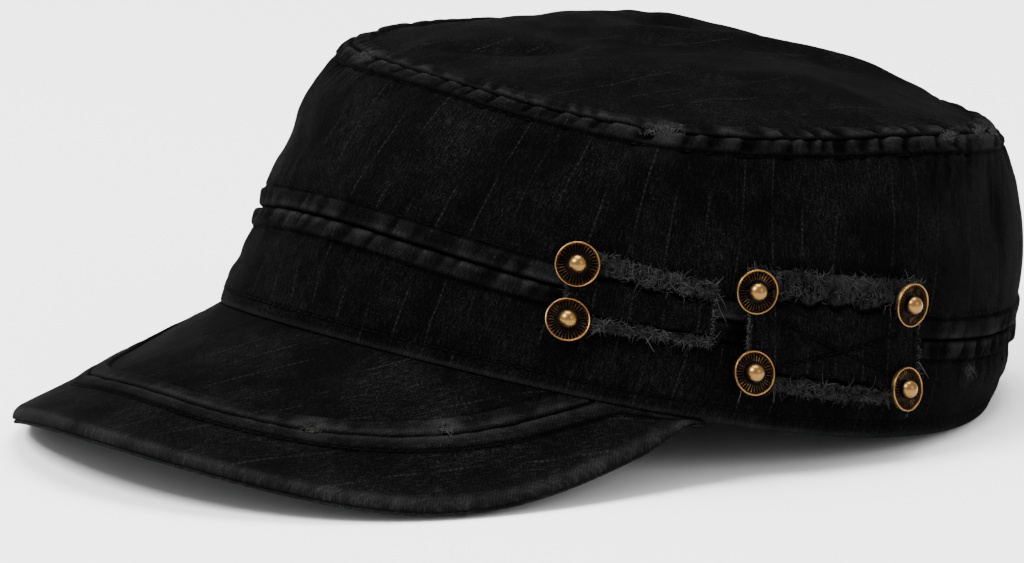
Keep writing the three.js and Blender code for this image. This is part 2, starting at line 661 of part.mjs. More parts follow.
// Heights above a rivet's middle, along its axis, of the surfaces that are met over a disc when looking
// towards the wall.
function heightsOver(meshes, origin, normal, radius, side) {
  const across = new THREE.Vector3(0, 0, 1).cross(normal).normalize();
  const up = normal.clone().cross(across);
  const heights = [];
  for (const share of [0, 0.5, 1])
    for (const turn of [0, 30, 60, 90, 120, 150, 180, 210, 240, 270, 300, 330]) {
      const start = origin.clone().addScaledVector(normal, side * LOOK_DISTANCE);
      start.addScaledVector(across, radius * share * Math.cos(radians(turn)));
      start.addScaledVector(up, radius * share * Math.sin(radians(turn)));
      const ray = new THREE.Raycaster(start, normal.clone().multiplyScalar(-side));
      const hit = ray.intersectObjects(meshes)[0];
      if (hit) heights.push(hit.point.sub(origin).dot(normal));
    }
  return heights;
}

const RIVET_SIDES = 16;

function rivetProfile(seat, depth) {
  const steps = 4;
  const dome = Array.from({ length: steps }, (_, i) => {
    const turn = ((i + 1) / steps) * (Math.PI / 2);
    const rise = seat + RIVET_DISH + (DOME_HEIGHT - RIVET_DISH) * Math.sin(turn);
    return [DOME_RADIUS * Math.cos(turn), rise];
  });
  return [
    [0, depth - BURR_THICK],
    [BURR_RADIUS, depth - BURR_THICK],
    [BURR_RADIUS, depth],
    [SHANK_RADIUS, depth],
    [SHANK_RADIUS, seat],
    [RIVET_RADIUS, seat],
    [RIVET_RADIUS, seat + RIVET_RIM * 0.7],
    [RIVET_RADIUS * 0.94, seat + RIVET_RIM],
    [RIVET_RADIUS * 0.83, seat + RIVET_DISH * 0.8],
    [DOME_RADIUS, seat + RIVET_DISH],
    ...dome.slice(0, -1),
    [0, dome.at(-1)[1]],
  ].map(([radius, height]) => new THREE.Vector2(radius, height));
}

// A solid of revolution whose axis stands on the wall at a rivet's place.
function onWall(geometry, origin, normal) {
  geometry.applyQuaternion(new THREE.Quaternion().setFromUnitVectors(new THREE.Vector3(0, 1, 0), normal));
  geometry.translate(origin.x, origin.y, origin.z);
  return solidFrom(geometry);
}

const HOLE_LENGTH = 14;
const RIVET_GAP = 0.3; // clearance of the disc and the burr from the cloth

function rivetParts({ angle: angleDeg, level }, covers, walls) {
  const angle = radians(angleDeg);
  const origin = wallPoint(angle, level);
  const normal = wallNormal(angle, level);
  const seat = Math.max(...heightsOver(covers, origin, normal, RIVET_RADIUS, 1)) + RIVET_GAP;
  const depth = Math.min(...heightsOver(walls, origin, normal, BURR_RADIUS, -1)) - RIVET_GAP;
  const rivet = onWall(new THREE.LatheGeometry(rivetProfile(seat, depth), RIVET_SIDES), origin, normal);
  const holeRadius = SHANK_RADIUS + SHANK_CLEARANCE;
  const bore = new THREE.CylinderGeometry(holeRadius, holeRadius, HOLE_LENGTH, 10);
  return { rivet, hole: onWall(bore, origin, normal) };
}

// Assembly

const denim = new THREE.MeshStandardMaterial({ color: 0x17171a, roughness: 0.92, metalness: 0 });
const bandDenim = new THREE.MeshStandardMaterial({ color: 0x15151a, roughness: 0.92, metalness: 0 });
const patchDenim = new THREE.MeshStandardMaterial({ color: 0x1d1d20, roughness: 0.95, metalness: 0 });
const agedBrass = new THREE.MeshStandardMaterial({ color: 0x8a6a3c, roughness: 0.42, metalness: 1 });

const sideWall = wallSolid(sideLevels(), [2, 1.8, 1.5, 1.25, 1], CLOTH_WALL);
const bandWall = wallSolid(bandLevels(), [1, 0.5, 0], BAND_WALL);
const patches = [
  [FRONT_TAB.name, tabSolid()],
  [REAR_PATCH.name, rearPatchSolid()],
];
const covers = patches.map(([name, solid]) => meshOf(name, solid, patchDenim));
const walls = [meshOf("crown_side", sideWall, denim), meshOf("crown_band", bandWall, bandDenim)];
const rivets = RIVETS.map((place) => rivetParts(place, covers, walls));
const drilled = (solid) => rivets.reduce((rest, { hole }) => rest.subtract(hole), solid);

const cap = new THREE.Group();
const crown = new THREE.Group();
crown.add(
  meshOf("crown_top", topSolid(), denim),
  meshOf("crown_side", drilled(sideWall), denim),
  meshOf("crown_band", drilled(bandWall), bandDenim),
);
const peak = new THREE.Group();
peak.add(
  meshOf("peak_base", peakBase(), denim),
  meshOf("peak_panel", peakPanel(), denim),
  meshOf("peak_border", peakBorder(), denim),
);
const trim = new THREE.Group();
trim.add(
  ...patches.map(([name, solid]) => meshOf(name, drilled(solid), patchDenim)),
  ...rivets.map(({ rivet }, i) => meshOf(`rivet_${i + 1}`, rivet, agedBrass)),
);
cap.add(crown, peak, trim);

// The origin is the middle of the cap's footprint, on the surface that it stands on.
const bounds = new THREE.Box3().setFromObject(cap);
const middle = bounds.getCenter(new THREE.Vector3());
cap.position.set(-middle.x, -middle.y, -bounds.min.z);

export default cap;
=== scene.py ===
import math

import bmesh
import bpy
import numpy as np
from bpy.props import FloatProperty, FloatVectorProperty, IntProperty
from mathutils import Matrix, Vector


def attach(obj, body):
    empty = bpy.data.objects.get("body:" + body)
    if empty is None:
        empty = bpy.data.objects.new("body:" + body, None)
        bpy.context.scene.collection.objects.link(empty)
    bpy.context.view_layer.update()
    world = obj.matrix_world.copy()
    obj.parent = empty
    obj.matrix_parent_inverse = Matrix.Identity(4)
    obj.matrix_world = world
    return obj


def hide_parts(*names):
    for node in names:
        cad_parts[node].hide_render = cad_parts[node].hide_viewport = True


bl_info = {
    "name": "Denim cadet cap",
    "version": (1, 0, 0),
    "blender": (4, 5, 0),
    "location": "View3D > Sidebar > Cap",
    "description": "Sews a flat-topped cadet cap in washed denim round its packed solids",
    "category": "Object",
}

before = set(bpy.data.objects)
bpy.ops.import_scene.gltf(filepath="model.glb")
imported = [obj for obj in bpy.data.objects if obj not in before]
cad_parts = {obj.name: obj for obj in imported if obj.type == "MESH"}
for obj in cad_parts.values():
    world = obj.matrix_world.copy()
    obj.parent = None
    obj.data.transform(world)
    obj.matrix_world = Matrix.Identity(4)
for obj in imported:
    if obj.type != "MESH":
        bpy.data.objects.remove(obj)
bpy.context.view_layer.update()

MM = 0.001
UV_UNIT = 0.01  # a step of 1 in a cloth UV map is 100 mm of cloth

# The crown's sections from the rim (level 0) over the band seam (1) to the top seam (2), as shares of half
# the crown's length and width. The last five columns are heights, as shares of the crown's height, at the
# front, at each 45 degrees and at the back.
SECTION_COLUMNS = (
    "level", "half_length", "half_width", "set_back", "square",
    "front", "front_quarter", "side", "rear_quarter", "rear",
)
SECTION_ROWS = (
    (0, 1, 1, -0.017, 1.98, 0.357, 0.2625, 0.084, 0, 0),
    (0.5, 1.008, 0.992, 0.036, 1.98, 0.502, 0.392, 0.2125, 0.109, 0.117),
    (1, 0.993, 0.954, 0.087, 1.98, 0.641, 0.5125, 0.339, 0.227, 0.241),
    (1.35, 0.962, 0.948, 0.113, 2.04, 0.7625, 0.66, 0.528, 0.419, 0.42),
    (1.65, 0.902, 0.915, 0.141, 2.12, 0.882, 0.8, 0.707, 0.617, 0.608),
    (1.86, 0.838, 0.872, 0.16, 2.22, 0.964, 0.899, 0.83, 0.737, 0.7),
    (2, 0.787, 0.818, 0.178, 2.28, 1, 0.9545, 0.9, 0.812, 0.765),
)
SECTIONS = dict(zip(SECTION_COLUMNS, np.array(SECTION_ROWS, float).T))
HEIGHT_COLUMNS = SECTION_COLUMNS[-5:]

# Dents (depth above 0) and swells of the wall: middle and half-widths, in degrees and levels, and depth as a
# share of the crown's height.
WALL_DENTS = (
    # angle, level, spread_angle, spread_level, depth
    (-38, 1.42, 16, 0.14, 0.02),
    (12, 1.5, 14, 0.3, 0.015),
    (60, 1.55, 20, 0.25, 0.018),
    (118, 1.6, 9, 0.3, 0.016),
    (150, 1.45, 12, 0.3, -0.015),
    (190, 1.6, 14, 0.3, 0.02),
    (245, 1.5, 18, 0.28, 0.018),
    (285, 1.6, 10, 0.3, -0.012),
)

# Ridges and valleys of the top panel, as shares of half the width and length, and of the crown's height.
TOP_FOLDS = (
    # from_x, from_y, to_x, to_y, spread, height
    (-0.05, -0.1, 0.2, 0.62, 0.07, 0.026),
    (-0.2, 0.1, -0.02, 0.66, 0.08, -0.03),
    (-0.42, 0.2, -0.18, 0.6, 0.08, 0.02),
    (-0.15, -0.58, 0.02, -0.4, 0.06, -0.022),
    (0.3, -0.3, 0.5, 0.1, 0.12, 0.016),
    (-0.35, 0.05, 0, 0.4, 0.25, 0.03),
)

RIM, BAND_SEAM, TOP_SEAM = 0.0, 1.0, 2.0
SMALL = 0.01


def bell(v):
    return np.exp(-v * v)


def ease(start, end, v):
    t = np.clip((v - start) / (end - start), 0, 1)
    return t * t * (3 - 2 * t)


def mix(a, b, t):
    return a + (b - a) * t


def unit(v):
    return v / np.maximum(np.linalg.norm(v, axis=-1, keepdims=True), 1e-12)


def signed_power(v, power):
    return np.sign(v) * np.abs(v) ** power


def rounded(distance, radius):
    """Height of a rounded edge, from 0 on the edge to 1 a radius inside it."""
    return np.sqrt(np.clip(1 - (1 - np.clip(distance / radius, 0, 1)) ** 2, 0, 1))


def mitre(first, second):
    """The way in which the corner of two faces moves when both move by 1 along their normals."""
    return (first + second) / (1 + (first * second).sum(-1, keepdims=True))


def lumps(u, v, seed, round_u=64):
    """Smooth values from -1 to 1 over a plane, a step of 1 apart. They repeat after round_u steps of u."""
    values = np.random.default_rng(seed).uniform(-1, 1, (64, 64))
    u, v = np.broadcast_arrays(np.asarray(u, float), np.asarray(v, float))
    low_u, low_v = np.floor(u).astype(int), np.floor(v).astype(int)
    share_u, share_v = ease(0, 1, u - low_u), ease(0, 1, v - low_v)

    def at(i, j):
        return values[(low_u + i) % round_u % 64, (low_v + j) % 64]

    return mix(mix(at(0, 0), at(1, 0), share_u), mix(at(0, 1), at(1, 1), share_u), share_v)


def round_lumps(angle, v, steps, seed):
    """Lumps round the crown, so many of them in a full turn."""
    return lumps(angle / (2 * np.pi) * steps, v, seed, steps)


class Crown:
    """Places on the crown's cloth in millimetres. Angles go from the front towards the wearer's left."""

    def __init__(self, sizes):
        self.half_length = sizes.crown_length / MM / 2
        self.half_width = sizes.crown_width / MM / 2
        self.height = sizes.crown_height / MM
        self.lean = sizes.crown_lean / MM
        self.puff = sizes.top_puff / MM
        self.wall_thick = sizes.cloth_wall / MM
        self.band_thick = sizes.band_wall / MM
        self.strip = sizes.seam_strip / MM
        self.top_middle_y = float(self.column("set_back", TOP_SEAM)) * self.half_length

    def column(self, key, level):
        """A column of the sections at any level, by a smooth curve through its rows."""
        levels, values = SECTIONS["level"], SECTIONS[key]
        tangents = (np.append(values[1:], values[-1]) - np.insert(values[:-1], 0, values[0])) / (
            np.append(levels[1:], levels[-1]) - np.insert(levels[:-1], 0, levels[0])
        )
        level = np.asarray(level, float)
        i = np.clip(np.searchsorted(levels, level), 1, len(levels) - 1)
        span = levels[i] - levels[i - 1]
        t = (level - levels[i - 1]) / span
        return (
            (2 * t**3 - 3 * t**2 + 1) * values[i - 1]
            + (t**3 - 2 * t**2 + t) * span * tangents[i - 1]
            + (3 * t**2 - 2 * t**3) * values[i]
            + (t**3 - t**2) * span * tangents[i]
        )

    def height_terms(self, level):
        """The five heights of a section as a cosine series, so that a ring is smooth all the way round."""
        last = len(HEIGHT_COLUMNS) - 1
        heights = [self.column(key, level) * self.height for key in HEIGHT_COLUMNS]
        half = [0.5 if k in (0, last) else 1 for k in range(last + 1)]

        def term(k):
            total = sum(half[j] * heights[j] * math.cos(k * j * math.pi / last) for j in range(last + 1))
            return 2 / last * half[k] * total

        return [term(k) for k in range(last + 1)]

    def ring(self, angle, level):
        angle, level = np.broadcast_arrays(np.asarray(angle, float), np.asarray(level, float))
        power = 2 / self.column("square", level)
        x = self.column("half_width", level) * self.half_width * signed_power(np.sin(angle), power)
        y = self.column("set_back", level) * self.half_length
        y = y - self.column("half_length", level) * self.half_length * signed_power(np.cos(angle), power)
        z = sum(term * np.cos(k * angle) for k, term in enumerate(self.height_terms(level)))
        z = z - self.lean * np.maximum(0, level - BAND_SEAM) * np.sin(angle)
        return np.stack([x, y, np.maximum(0, z)], -1)

    def wall(self, angle, level):
        angle, level = np.broadcast_arrays(np.asarray(angle, float), np.asarray(level, float))
        depth = np.zeros(angle.shape)
        for middle, at_level, spread, level_spread, share in WALL_DENTS:
            turn = (angle - math.radians(middle) + np.pi) % (2 * np.pi) - np.pi
            away = bell(turn / math.radians(spread)) * bell((level - at_level) / level_spread)
            depth = depth + share * self.height * away
        out = np.stack([np.sin(angle) / self.half_width, -np.cos(angle) / self.half_length, 0 * angle], -1)
        return self.ring(angle, level) - unit(out) * depth[..., None]

    def normal(self, angle, level):
        angle, level = np.broadcast_arrays(np.asarray(angle, float), np.asarray(level, float))
        inside = np.clip(level, SMALL, TOP_SEAM - SMALL)
        around = self.wall(angle + SMALL, inside) - self.wall(angle - SMALL, inside)
        up = self.wall(angle, inside + SMALL) - self.wall(angle, inside - SMALL)
        normal = unit(np.cross(around, up))
        level_there = (level < 2 * SMALL)[..., None]
        return unit(np.where(level_there, normal * [1, 1, 0], normal))

    def out(self, angle, level, distance):
        return self.wall(angle, level) + self.normal(angle, level) * np.asarray(distance)[..., None]

    def span(self, angle, level):
        """Millimetres of one whole level near a place on the wall."""
        low, high = np.maximum(RIM, level - 5 * SMALL), np.minimum(TOP_SEAM, level + 5 * SMALL)
        return np.linalg.norm(self.wall(angle, high) - self.wall(angle, low), axis=-1) / (high - low)

    def turn_span(self, angle, level):
        """Millimetres along the wall for one radian round it."""
        return np.linalg.norm(self.wall(angle + SMALL, level) - self.wall(angle, level), axis=-1) / SMALL

    def top(self, angle, share):
        angle, share = np.broadcast_arrays(np.asarray(angle, float), np.asarray(share, float))
        seam = self.ring(angle, TOP_SEAM)
        x = seam[..., 0] * share
        y = (seam[..., 1] - self.top_middle_y) * share
        z = sum(term * share**k * np.cos(k * angle) for k, term in enumerate(self.height_terms(TOP_SEAM)))
        free = 1 - share**2
        z = z - self.lean * share * np.sin(angle) + self.puff * free
        z = z + self.folds(x, y) * np.minimum(1, 2 * free)
        return np.stack([x, y + self.top_middle_y, z], -1)

    def folds(self, x, y):
        total = np.zeros(x.shape)
        for from_x, from_y, to_x, to_y, spread, height in TOP_FOLDS:
            start = np.array([from_x * self.half_width, from_y * self.half_length])
            line = np.array([to_x * self.half_width, to_y * self.half_length]) - start
            place = np.stack([x, y], -1) - start
            along = np.clip((place @ line) / (line @ line), 0, 1)
            away = np.linalg.norm(place - along[..., None] * line, axis=-1)
            total = total + height * self.height * bell(away / (spread * self.height))
        return total

    def top_normal(self, angle, share):
        around = self.top(angle + SMALL, share) - self.top(angle - SMALL, share)
        inward = self.top(angle, share - SMALL) - self.top(angle, share + SMALL)
        return unit(np.cross(around, inward))


# Place and spread of the peak's drooping corner, as shares of its outline's width and its length
DROOP_ASIDE, DROOP_AHEAD, DROOP_SPREAD = 0.27, 0.7, 0.5
SEAM_GAP = 0.1
COVER_GAP = 0.3
PEAK_ENDS = math.radians(88)


class Peak:
    """Places on the peak in millimetres, by direction from between its ends and by reach in plan."""

    def __init__(self, sizes, crown):
        self.crown = crown
        self.length = sizes.peak_length / MM
        self.sweep = sizes.peak_sweep / MM
        self.draw_in = sizes.peak_draw_in
        self.ends = sizes.peak_ends
        self.slope = sizes.peak_slope
        self.arch_at_crown = sizes.peak_arch_at_crown / MM
        self.arch_at_edge = sizes.peak_arch_at_edge / MM
        self.droop = sizes.corner_droop / MM
        self.board = sizes.board_thick / MM
        self.cover = sizes.cover_thick / MM
        self.seam_inset = sizes.peak_seam_inset / MM
        self.seam_sweep = sizes.peak_seam_sweep / MM
        self.seam_square = sizes.peak_seam_square
        self.thick = self.board + COVER_GAP + self.cover
        end = crown.ring(self.ends, RIM)
        self.end_x, self.middle_y = float(end[0]), float(end[1])
        self.rim_front_y = float(crown.ring(0, RIM)[1])
        self.outline = self.middle_y - (self.rim_front_y - self.length)
        directions = np.linspace(-PEAK_ENDS, PEAK_ENDS, 37)
        self.lowest = self.arch(self.plan(directions, self.edge(directions))).min()

    def reach_seen(self, direction, place_at):
        near, far = np.zeros(np.shape(direction)), np.ones(np.shape(direction))
        for _ in range(40):
            half = (near + far) / 2
            x, y = place_at(half)
            before = np.arctan2(x, self.middle_y - y) < np.abs(direction)
            near, far = np.where(before, half, near), np.where(before, far, half)
        x, y = place_at((near + far) / 2)
        return np.hypot(x, self.middle_y - y)

    def edge(self, direction):
        def place_at(share):
            across = np.sin(share * np.pi / 2)
            drawn_in = 1 - (1 - 2 * self.end_x / self.sweep) * across**self.draw_in
            ahead = self.outline * np.cos(share * np.pi / 2)
            return self.sweep / 2 * across * drawn_in, self.middle_y - ahead

        return self.reach_seen(direction, place_at)

    def seam(self, direction):
        def place_at(share):
            power = 2 / self.seam_square
            across = np.abs(np.sin(share * np.pi / 2)) ** power
            ahead = np.abs(np.cos(share * np.pi / 2)) ** power
            return self.seam_sweep / 2 * across, self.middle_y - (self.outline - self.seam_inset) * ahead

        return self.reach_seen(direction, place_at)

    def rim(self, direction, inset=0.0):
        def place_at(share):
            place = self.crown.out(share * self.ends, RIM, -inset * np.ones(np.shape(share)))
            return place[..., 0], place[..., 1]

        return self.reach_seen(direction, place_at)

    def plan(self, direction, reach):
        return reach * np.sin(direction), self.middle_y - reach * np.cos(direction)

    def arch(self, place):
        x, y = place
        ahead = self.rim_front_y - y
        bend = mix(1 / self.arch_at_crown, 1 / self.arch_at_edge, ahead / self.length)
        corner = np.hypot(x + DROOP_ASIDE * self.sweep, ahead - DROOP_AHEAD * self.length)
        droop = self.droop * bell(corner / (DROOP_SPREAD * self.length))
        return -math.tan(self.slope) * ahead - x * x * bend / 2 - droop

    def rim_angle(self, place):
        x, y = place
        power = float(self.crown.column("square", RIM)) / 2
        back = float(self.crown.column("set_back", RIM)) * self.crown.half_length
        across = signed_power(x / self.crown.half_width, power)
        return np.arctan2(across, signed_power((back - y) / self.crown.half_length, power))

    def top(self, direction, reach):
        """The peak's top surface: straight lines from under the band's hem out to its arched edge."""
        rim, edge = self.rim(direction), self.edge(direction)
        rim_angle = self.rim_angle(self.plan(direction, np.minimum(reach, rim)))
        hem = self.crown.ring(rim_angle, RIM)[..., 2] - SEAM_GAP
        edge_height = self.arch(self.plan(direction, edge)) - self.lowest + self.thick
        away = np.clip((reach - rim) / np.maximum(edge - rim, self.thick), 0, 1)
        x, y = self.plan(direction, reach)
        return np.stack([x, y, mix(hem, edge_height, away)], -1)


# Sizes and colours that a maker would change


def size(name, text, default, precision=2):
    return FloatProperty(name=name, description=text, default=default, unit="LENGTH", precision=precision)


class CapCrownSizes(bpy.types.PropertyGroup):
    crown_length: size("Length", "Front to back at the rim", 0.202)
    crown_width: size("Width", "Side to side at the rim", 0.176)
    crown_height: size("Height", "To the front of the top seam", 0.088)
    crown_lean: size("Lean", "Sink of the top at the wearer's left", 0.004, 4)
    top_puff: size("Puff", "Rise of the top's middle above its seam", 0.0112, 4)
    cloth_wall: size("Cloth", "Side and top cloth", 0.002, 4)
    band_wall: size("Band", "The doubled band", 0.0026, 4)
    seam_strip: size("Seam strip", "Seam to its line of stitches", 0.005, 4)
    columns: IntProperty(name="Columns", description="Steps round the crown", default=720, min=72)


class CapPeakSizes(bpy.types.PropertyGroup):
    peak_length: size("Length", "Crown to front edge", 0.0617)
    peak_sweep: size("Sweep", "Width of its outline's ellipse", 0.194)
    peak_draw_in: FloatProperty(name="Draw in", description="How late the sides are drawn in", default=5.4)
    peak_ends: FloatProperty(
        name="Ends", description="How far round the rim each end is sewn",
        default=math.radians(68.8), subtype="ANGLE",
    )
    peak_slope: FloatProperty(
        name="Slope", description="Fall of its edge to the front", default=math.radians(21), subtype="ANGLE"
    )
    peak_arch_at_crown: size("Arch at crown", "Radius across at the crown", 0.0865)
    peak_arch_at_edge: size("Arch at edge", "Radius across at the front", 0.104)
    corner_droop: size("Corner droop", "Hang of its right corner", 0.0028, 4)
    board_thick: size("Board", "Stiff board with its lower cloth", 0.0028, 4)
    cover_thick: size("Cover", "Upper cloth", 0.0011, 4)
    peak_seam_inset: size("Seam inset", "Front edge to the seam", 0.0203)
    peak_seam_sweep: size("Seam sweep", "Width of the seam's oval", 0.14)
    peak_seam_square: FloatProperty(
        name="Seam square", description="2 is an ellipse, more is squarer", default=2.34
    )
    columns: IntProperty(name="Columns", description="Steps across the peak", default=260, min=36)


class CapTrimSizes(bpy.types.PropertyGroup):
    patch_thick: size("Patch", "Thickness of tab and patch", 0.0014, 4)
    rivet_radius: size("Rivet", "Radius of its disc", 0.00535, 5)
    rivet_rim: size("Rim", "Height of its rim", 0.0011, 5)
    rivet_dish: size("Dish", "Height inside the rim", 0.0007, 5)
    dome_radius: size("Dome", "Radius of its dome", 0.0023, 5)
    dome_height: size("Dome height", "Cloth to the dome's top", 0.0033, 5)
    burr_radius: size("Burr", "Radius of its inner disc", 0.0032, 5)
    burr_thick: size("Burr depth", "Inner disc", 0.0008, 5)
    shank_radius: size("Shank", "Through the cloth", 0.0011, 5)
    stitch_step: size("Stitch", "From stitch to stitch", 0.0026, 5)
    fray_per_mm: FloatProperty(
        name="Fray", description="Loose fibres to a millimetre of raw edge", default=26
    )


def colour(name, text, value):
    return FloatVectorProperty(
        name=name, description=text, default=value, subtype="COLOR", size=3, min=0, max=1
    )


class CapColours(bpy.types.PropertyGroup):
    denim: colour("Denim", "Washed black cloth", (0.0005, 0.0005, 0.0006))
    washed: colour("Washed", "Cloth worn down to its pale yarn", (0.0165, 0.0166, 0.0172))
    # Painted shade: the near-black that seams, stitch lines, pucker troughs, slits and holes are darkened
    # towards
    groove_shade: colour("Groove", "Cloth sunk in seams", (0.0002, 0.0002, 0.0002))
    slub: colour("Slub", "Thick pale yarns of the stripes", (0.015, 0.0153, 0.016))
    thread: colour("Thread", "Sewing thread", (0.0008, 0.0008, 0.0009))
    fray: colour("Fray", "Loose fibres of raw edges", (0.044, 0.0435, 0.0425))
    brass: colour("Brass", "Rubbed brass", (0.17, 0.095, 0.03))
    tarnish: colour("Tarnish", "Dark brass of the recess", (0.0045, 0.0042, 0.004))
    floor: colour("Floor", "Pale studio floor", (0.92, 0.92, 0.92))


# Shader maths as expressions


class Socket:
    """A value in a material's nodes."""

    def __init__(self, material, socket):
        self.material, self.socket = material, socket

    def math(self, operation, *others):
        return self.material.node("ShaderNodeMath", {"operation": operation}, [self, *others])

    def __add__(self, other):
        return self.math("ADD", other)

    def __sub__(self, other):
        return self.math("SUBTRACT", other)

    def __mul__(self, other):
        return self.math("MULTIPLY", other)

    def __truediv__(self, other):
        return self.math("DIVIDE", other)

    def __rsub__(self, other):
        return self.math("MULTIPLY", -1).math("ADD", other)

    __radd__, __rmul__ = __add__, __mul__

    def sine(self):
        return self.math("SINE")

    def range(self, low, high, to_low=0.0, to_high=1.0):
        """Eased from to_low at low to to_high at high."""
        settings = {"interpolation_type": "SMOOTHSTEP"}
        return self.material.node("ShaderNodeMapRange", settings, [self, low, high, to_low, to_high])


class Finish:
    """A procedural material, made node by node."""

    def __init__(self, name):
        self.material = bpy.data.materials.new(name)
        self.material.use_nodes = True
        self.nodes = self.material.node_tree.nodes
        self.surface = self.nodes["Principled BSDF"]

    def node(self, kind, settings=None, values=(), output=0):
        """Any node: its settings first, then the values or links of its sockets, by order or by name."""
        made = self.nodes.new(kind)
        for key, value in (settings or {}).items():
            setattr(made, key, value)
        pairs = values.items() if isinstance(values, dict) else enumerate(values)
        for key, value in pairs:
            self.feed(made.inputs[key], value)
        return Socket(self, made.outputs[output])

    def feed(self, target, value):
        if isinstance(value, Socket):
            self.material.node_tree.links.new(value.socket, target)
        elif hasattr(value, "__len__") and len(value) == 3 and target.type == "RGBA":
            target.default_value = (*value, 1)
        else:
            target.default_value = value

    def set(self, **values):
        for key, value in values.items():
            self.feed(self.surface.inputs[key.replace("_", " ")], value)

    def blend(self, share, first, second, how="MIX"):
        settings = {"data_type": "RGBA", "blend_type": how}
        made = self.nodes.new("ShaderNodeMix")
        for key, value in settings.items():
            setattr(made, key, value)
        for key, value in ((0, share), (6, first), (7, second)):
            self.feed(made.inputs[key], value)
        return Socket(self, made.outputs[2])

    def attribute(self, name):
        return self.node("ShaderNodeAttribute", {"attribute_name": name}, output="Fac")

    def noise(self, vector, scale, detail=2.0, roughness=0.5):
        values = {"Vector": vector, "Scale": scale, "Detail": detail, "Roughness": roughness}
        return self.node("ShaderNodeTexNoise", {}, values)

    def place(self, x, y, z=0.0):
        return self.node("ShaderNodeCombineXYZ", {}, [x, y, z])

    def bump(self, height, distance, strength=1.0):
        return self.node("ShaderNodeBump", {}, {"Height": height, "Distance": distance, "Strength": strength})


def denim_finish(name, colours, lightness, wash):
    """Washed black denim: twill weave, pale slub stripes along the warp, worn ridges with a painted highlight
    on pucker crests, and painted shade in grooves.
    """
    finish = Finish(name)
    uv = finish.node("ShaderNodeUVMap", {"uv_map": "cloth"})
    split = finish.nodes.new("ShaderNodeSeparateXYZ")
    finish.feed(split.inputs[0], uv)
    across = Socket(finish, split.outputs[0]) * (1 / UV_UNIT)
    along = Socket(finish, split.outputs[1]) * (1 / UV_UNIT)
    # The first attribute holds real wear plus a painted highlight on the crests of seam puckers; the second
    # is painted shade in seams, stitch lines, pucker troughs, slits and holes
    wear_and_highlight, painted_shade = finish.attribute("wear_and_highlight"), finish.attribute("painted_shade")

    drift = finish.noise(finish.place(across * 0.03, along * 0.012), 1.0, 2.0)
    cloud = finish.noise(finish.place(across * 0.06, along * 0.045, 7.0), 1.0, 4.0, 0.6).range(0.32, 0.72)
    streak = finish.noise(finish.place(across * 2.5, along * 0.3), 1.0, 3.0, 0.8).range(0.42, 0.66)
    speck = finish.noise(finish.place(across * 1.9, along * 1.5, 3.0), 1.0, 2.0, 0.7).range(0.55, 0.68)
    slant = finish.noise(finish.place(across * 0.7, along * 0.7, 9.0), 1.0, 1.0)
    twill = ((across * 0.62 + along + slant * 0.5) * (2 * math.pi / 0.8)).sine() * 0.5 + 0.5

    stripes = ((across / 8.6 + drift * 1.1) * (2 * math.pi)).sine()
    dots = (along * (2 * math.pi / 1.5) + slant * 5).sine().range(-0.1, 0.8)
    kept = finish.noise(finish.place(across * 0.11, along * 0.07, 5.0), 1.0, 2.0).range(0.42, 0.58)
    slub = stripes.range(0.972, 0.998) * (dots * 0.75 + 0.25) * kept

    grain = streak * 0.55 + twill * 0.25 + speck * 0.2
    faded = (streak * 0.27 + speck * 0.42 + twill * 0.05) * (cloud + 0.25) * wash
    # Real wear, together with the painted highlight on pucker crests, pales the cloth
    rubbed_and_highlight = wear_and_highlight * (cloud * 0.35 + streak * 0.4 + twill * 0.15 + 0.3) * wash

    ground = [c * lightness for c in colours.denim]
    cloth = finish.blend(faded, ground, list(colours.washed))
    cloth = finish.blend(rubbed_and_highlight, cloth, list(colours.washed))
    cloth = finish.blend(slub * (1 - painted_shade) * 0.6, cloth, list(colours.slub))
    # Painted shade darkens grooves, troughs, slits and holes towards the groove colour
    cloth = finish.blend(painted_shade, cloth, list(colours.groove_shade))
    height = grain + slub * 0.6
    finish.set(Base_Color=cloth, Roughness=grain * -0.12 + 0.97)
    finish.set(Normal=finish.bump(height, 0.0005, 1.0))
    finish.set(Specular_IOR_Level=0.012)
    return finish.material


def thread_finish(name, base, pale):
    finish = Finish(name)
    place = finish.node("ShaderNodeTexCoord", {}, output="Object")
    fine = finish.noise(place, 900.0, 2.0)
    tone = finish.attribute("tone")
    share = tone * 0.8 + fine * 0.3
    finish.set(Base_Color=finish.blend(share, list(base), list(pale)), Roughness=fine * 0.15 + 0.8)
    finish.set(Specular_IOR_Level=0.02)
    return finish.material


def brass_finish(name, colours):
    """Antiqued brass: rubbed bright where it stands proud, dark in the recess."""
    finish = Finish(name)
    place = finish.node("ShaderNodeTexCoord", {}, output="Object")
    mottle = finish.noise(place, 700.0, 4.0, 0.6)
    fine = finish.noise(place, 4200.0, 3.0, 0.6)
    rub = finish.attribute("wear_and_highlight")
    bright = (rub + (mottle - 0.5) * 0.7 + (fine - 0.5) * 0.25).range(0.22, 0.78)
    finish.set(Base_Color=finish.blend(bright, list(colours.tarnish), list(colours.brass)))
    finish.set(Roughness=bright * -0.24 + 0.5 + mottle * 0.1)
    finish.set(Metallic=1.0)
    finish.set(Normal=finish.bump(mottle * 0.4 + fine * 0.6, 0.00003, 0.5))
    return finish.material


# Cloth skins


FOOTPRINT_MIDDLE = np.array([2.132, -27.221, 0.0])
EDGE_ROUND = 1.1
SEAM_RIDGE = 0.85
INNER_ROWS = 9
NEAR_SEAM = np.concatenate([[0, 0.12, 0.35, 0.7, 1.1], np.arange(1.5, 8.05, 0.43)])


def clear_selection():
    if bpy.context.object and bpy.context.object.mode != "OBJECT":
        bpy.ops.object.mode_set(mode="OBJECT")
    bpy.ops.object.select_all(action="DESELECT")


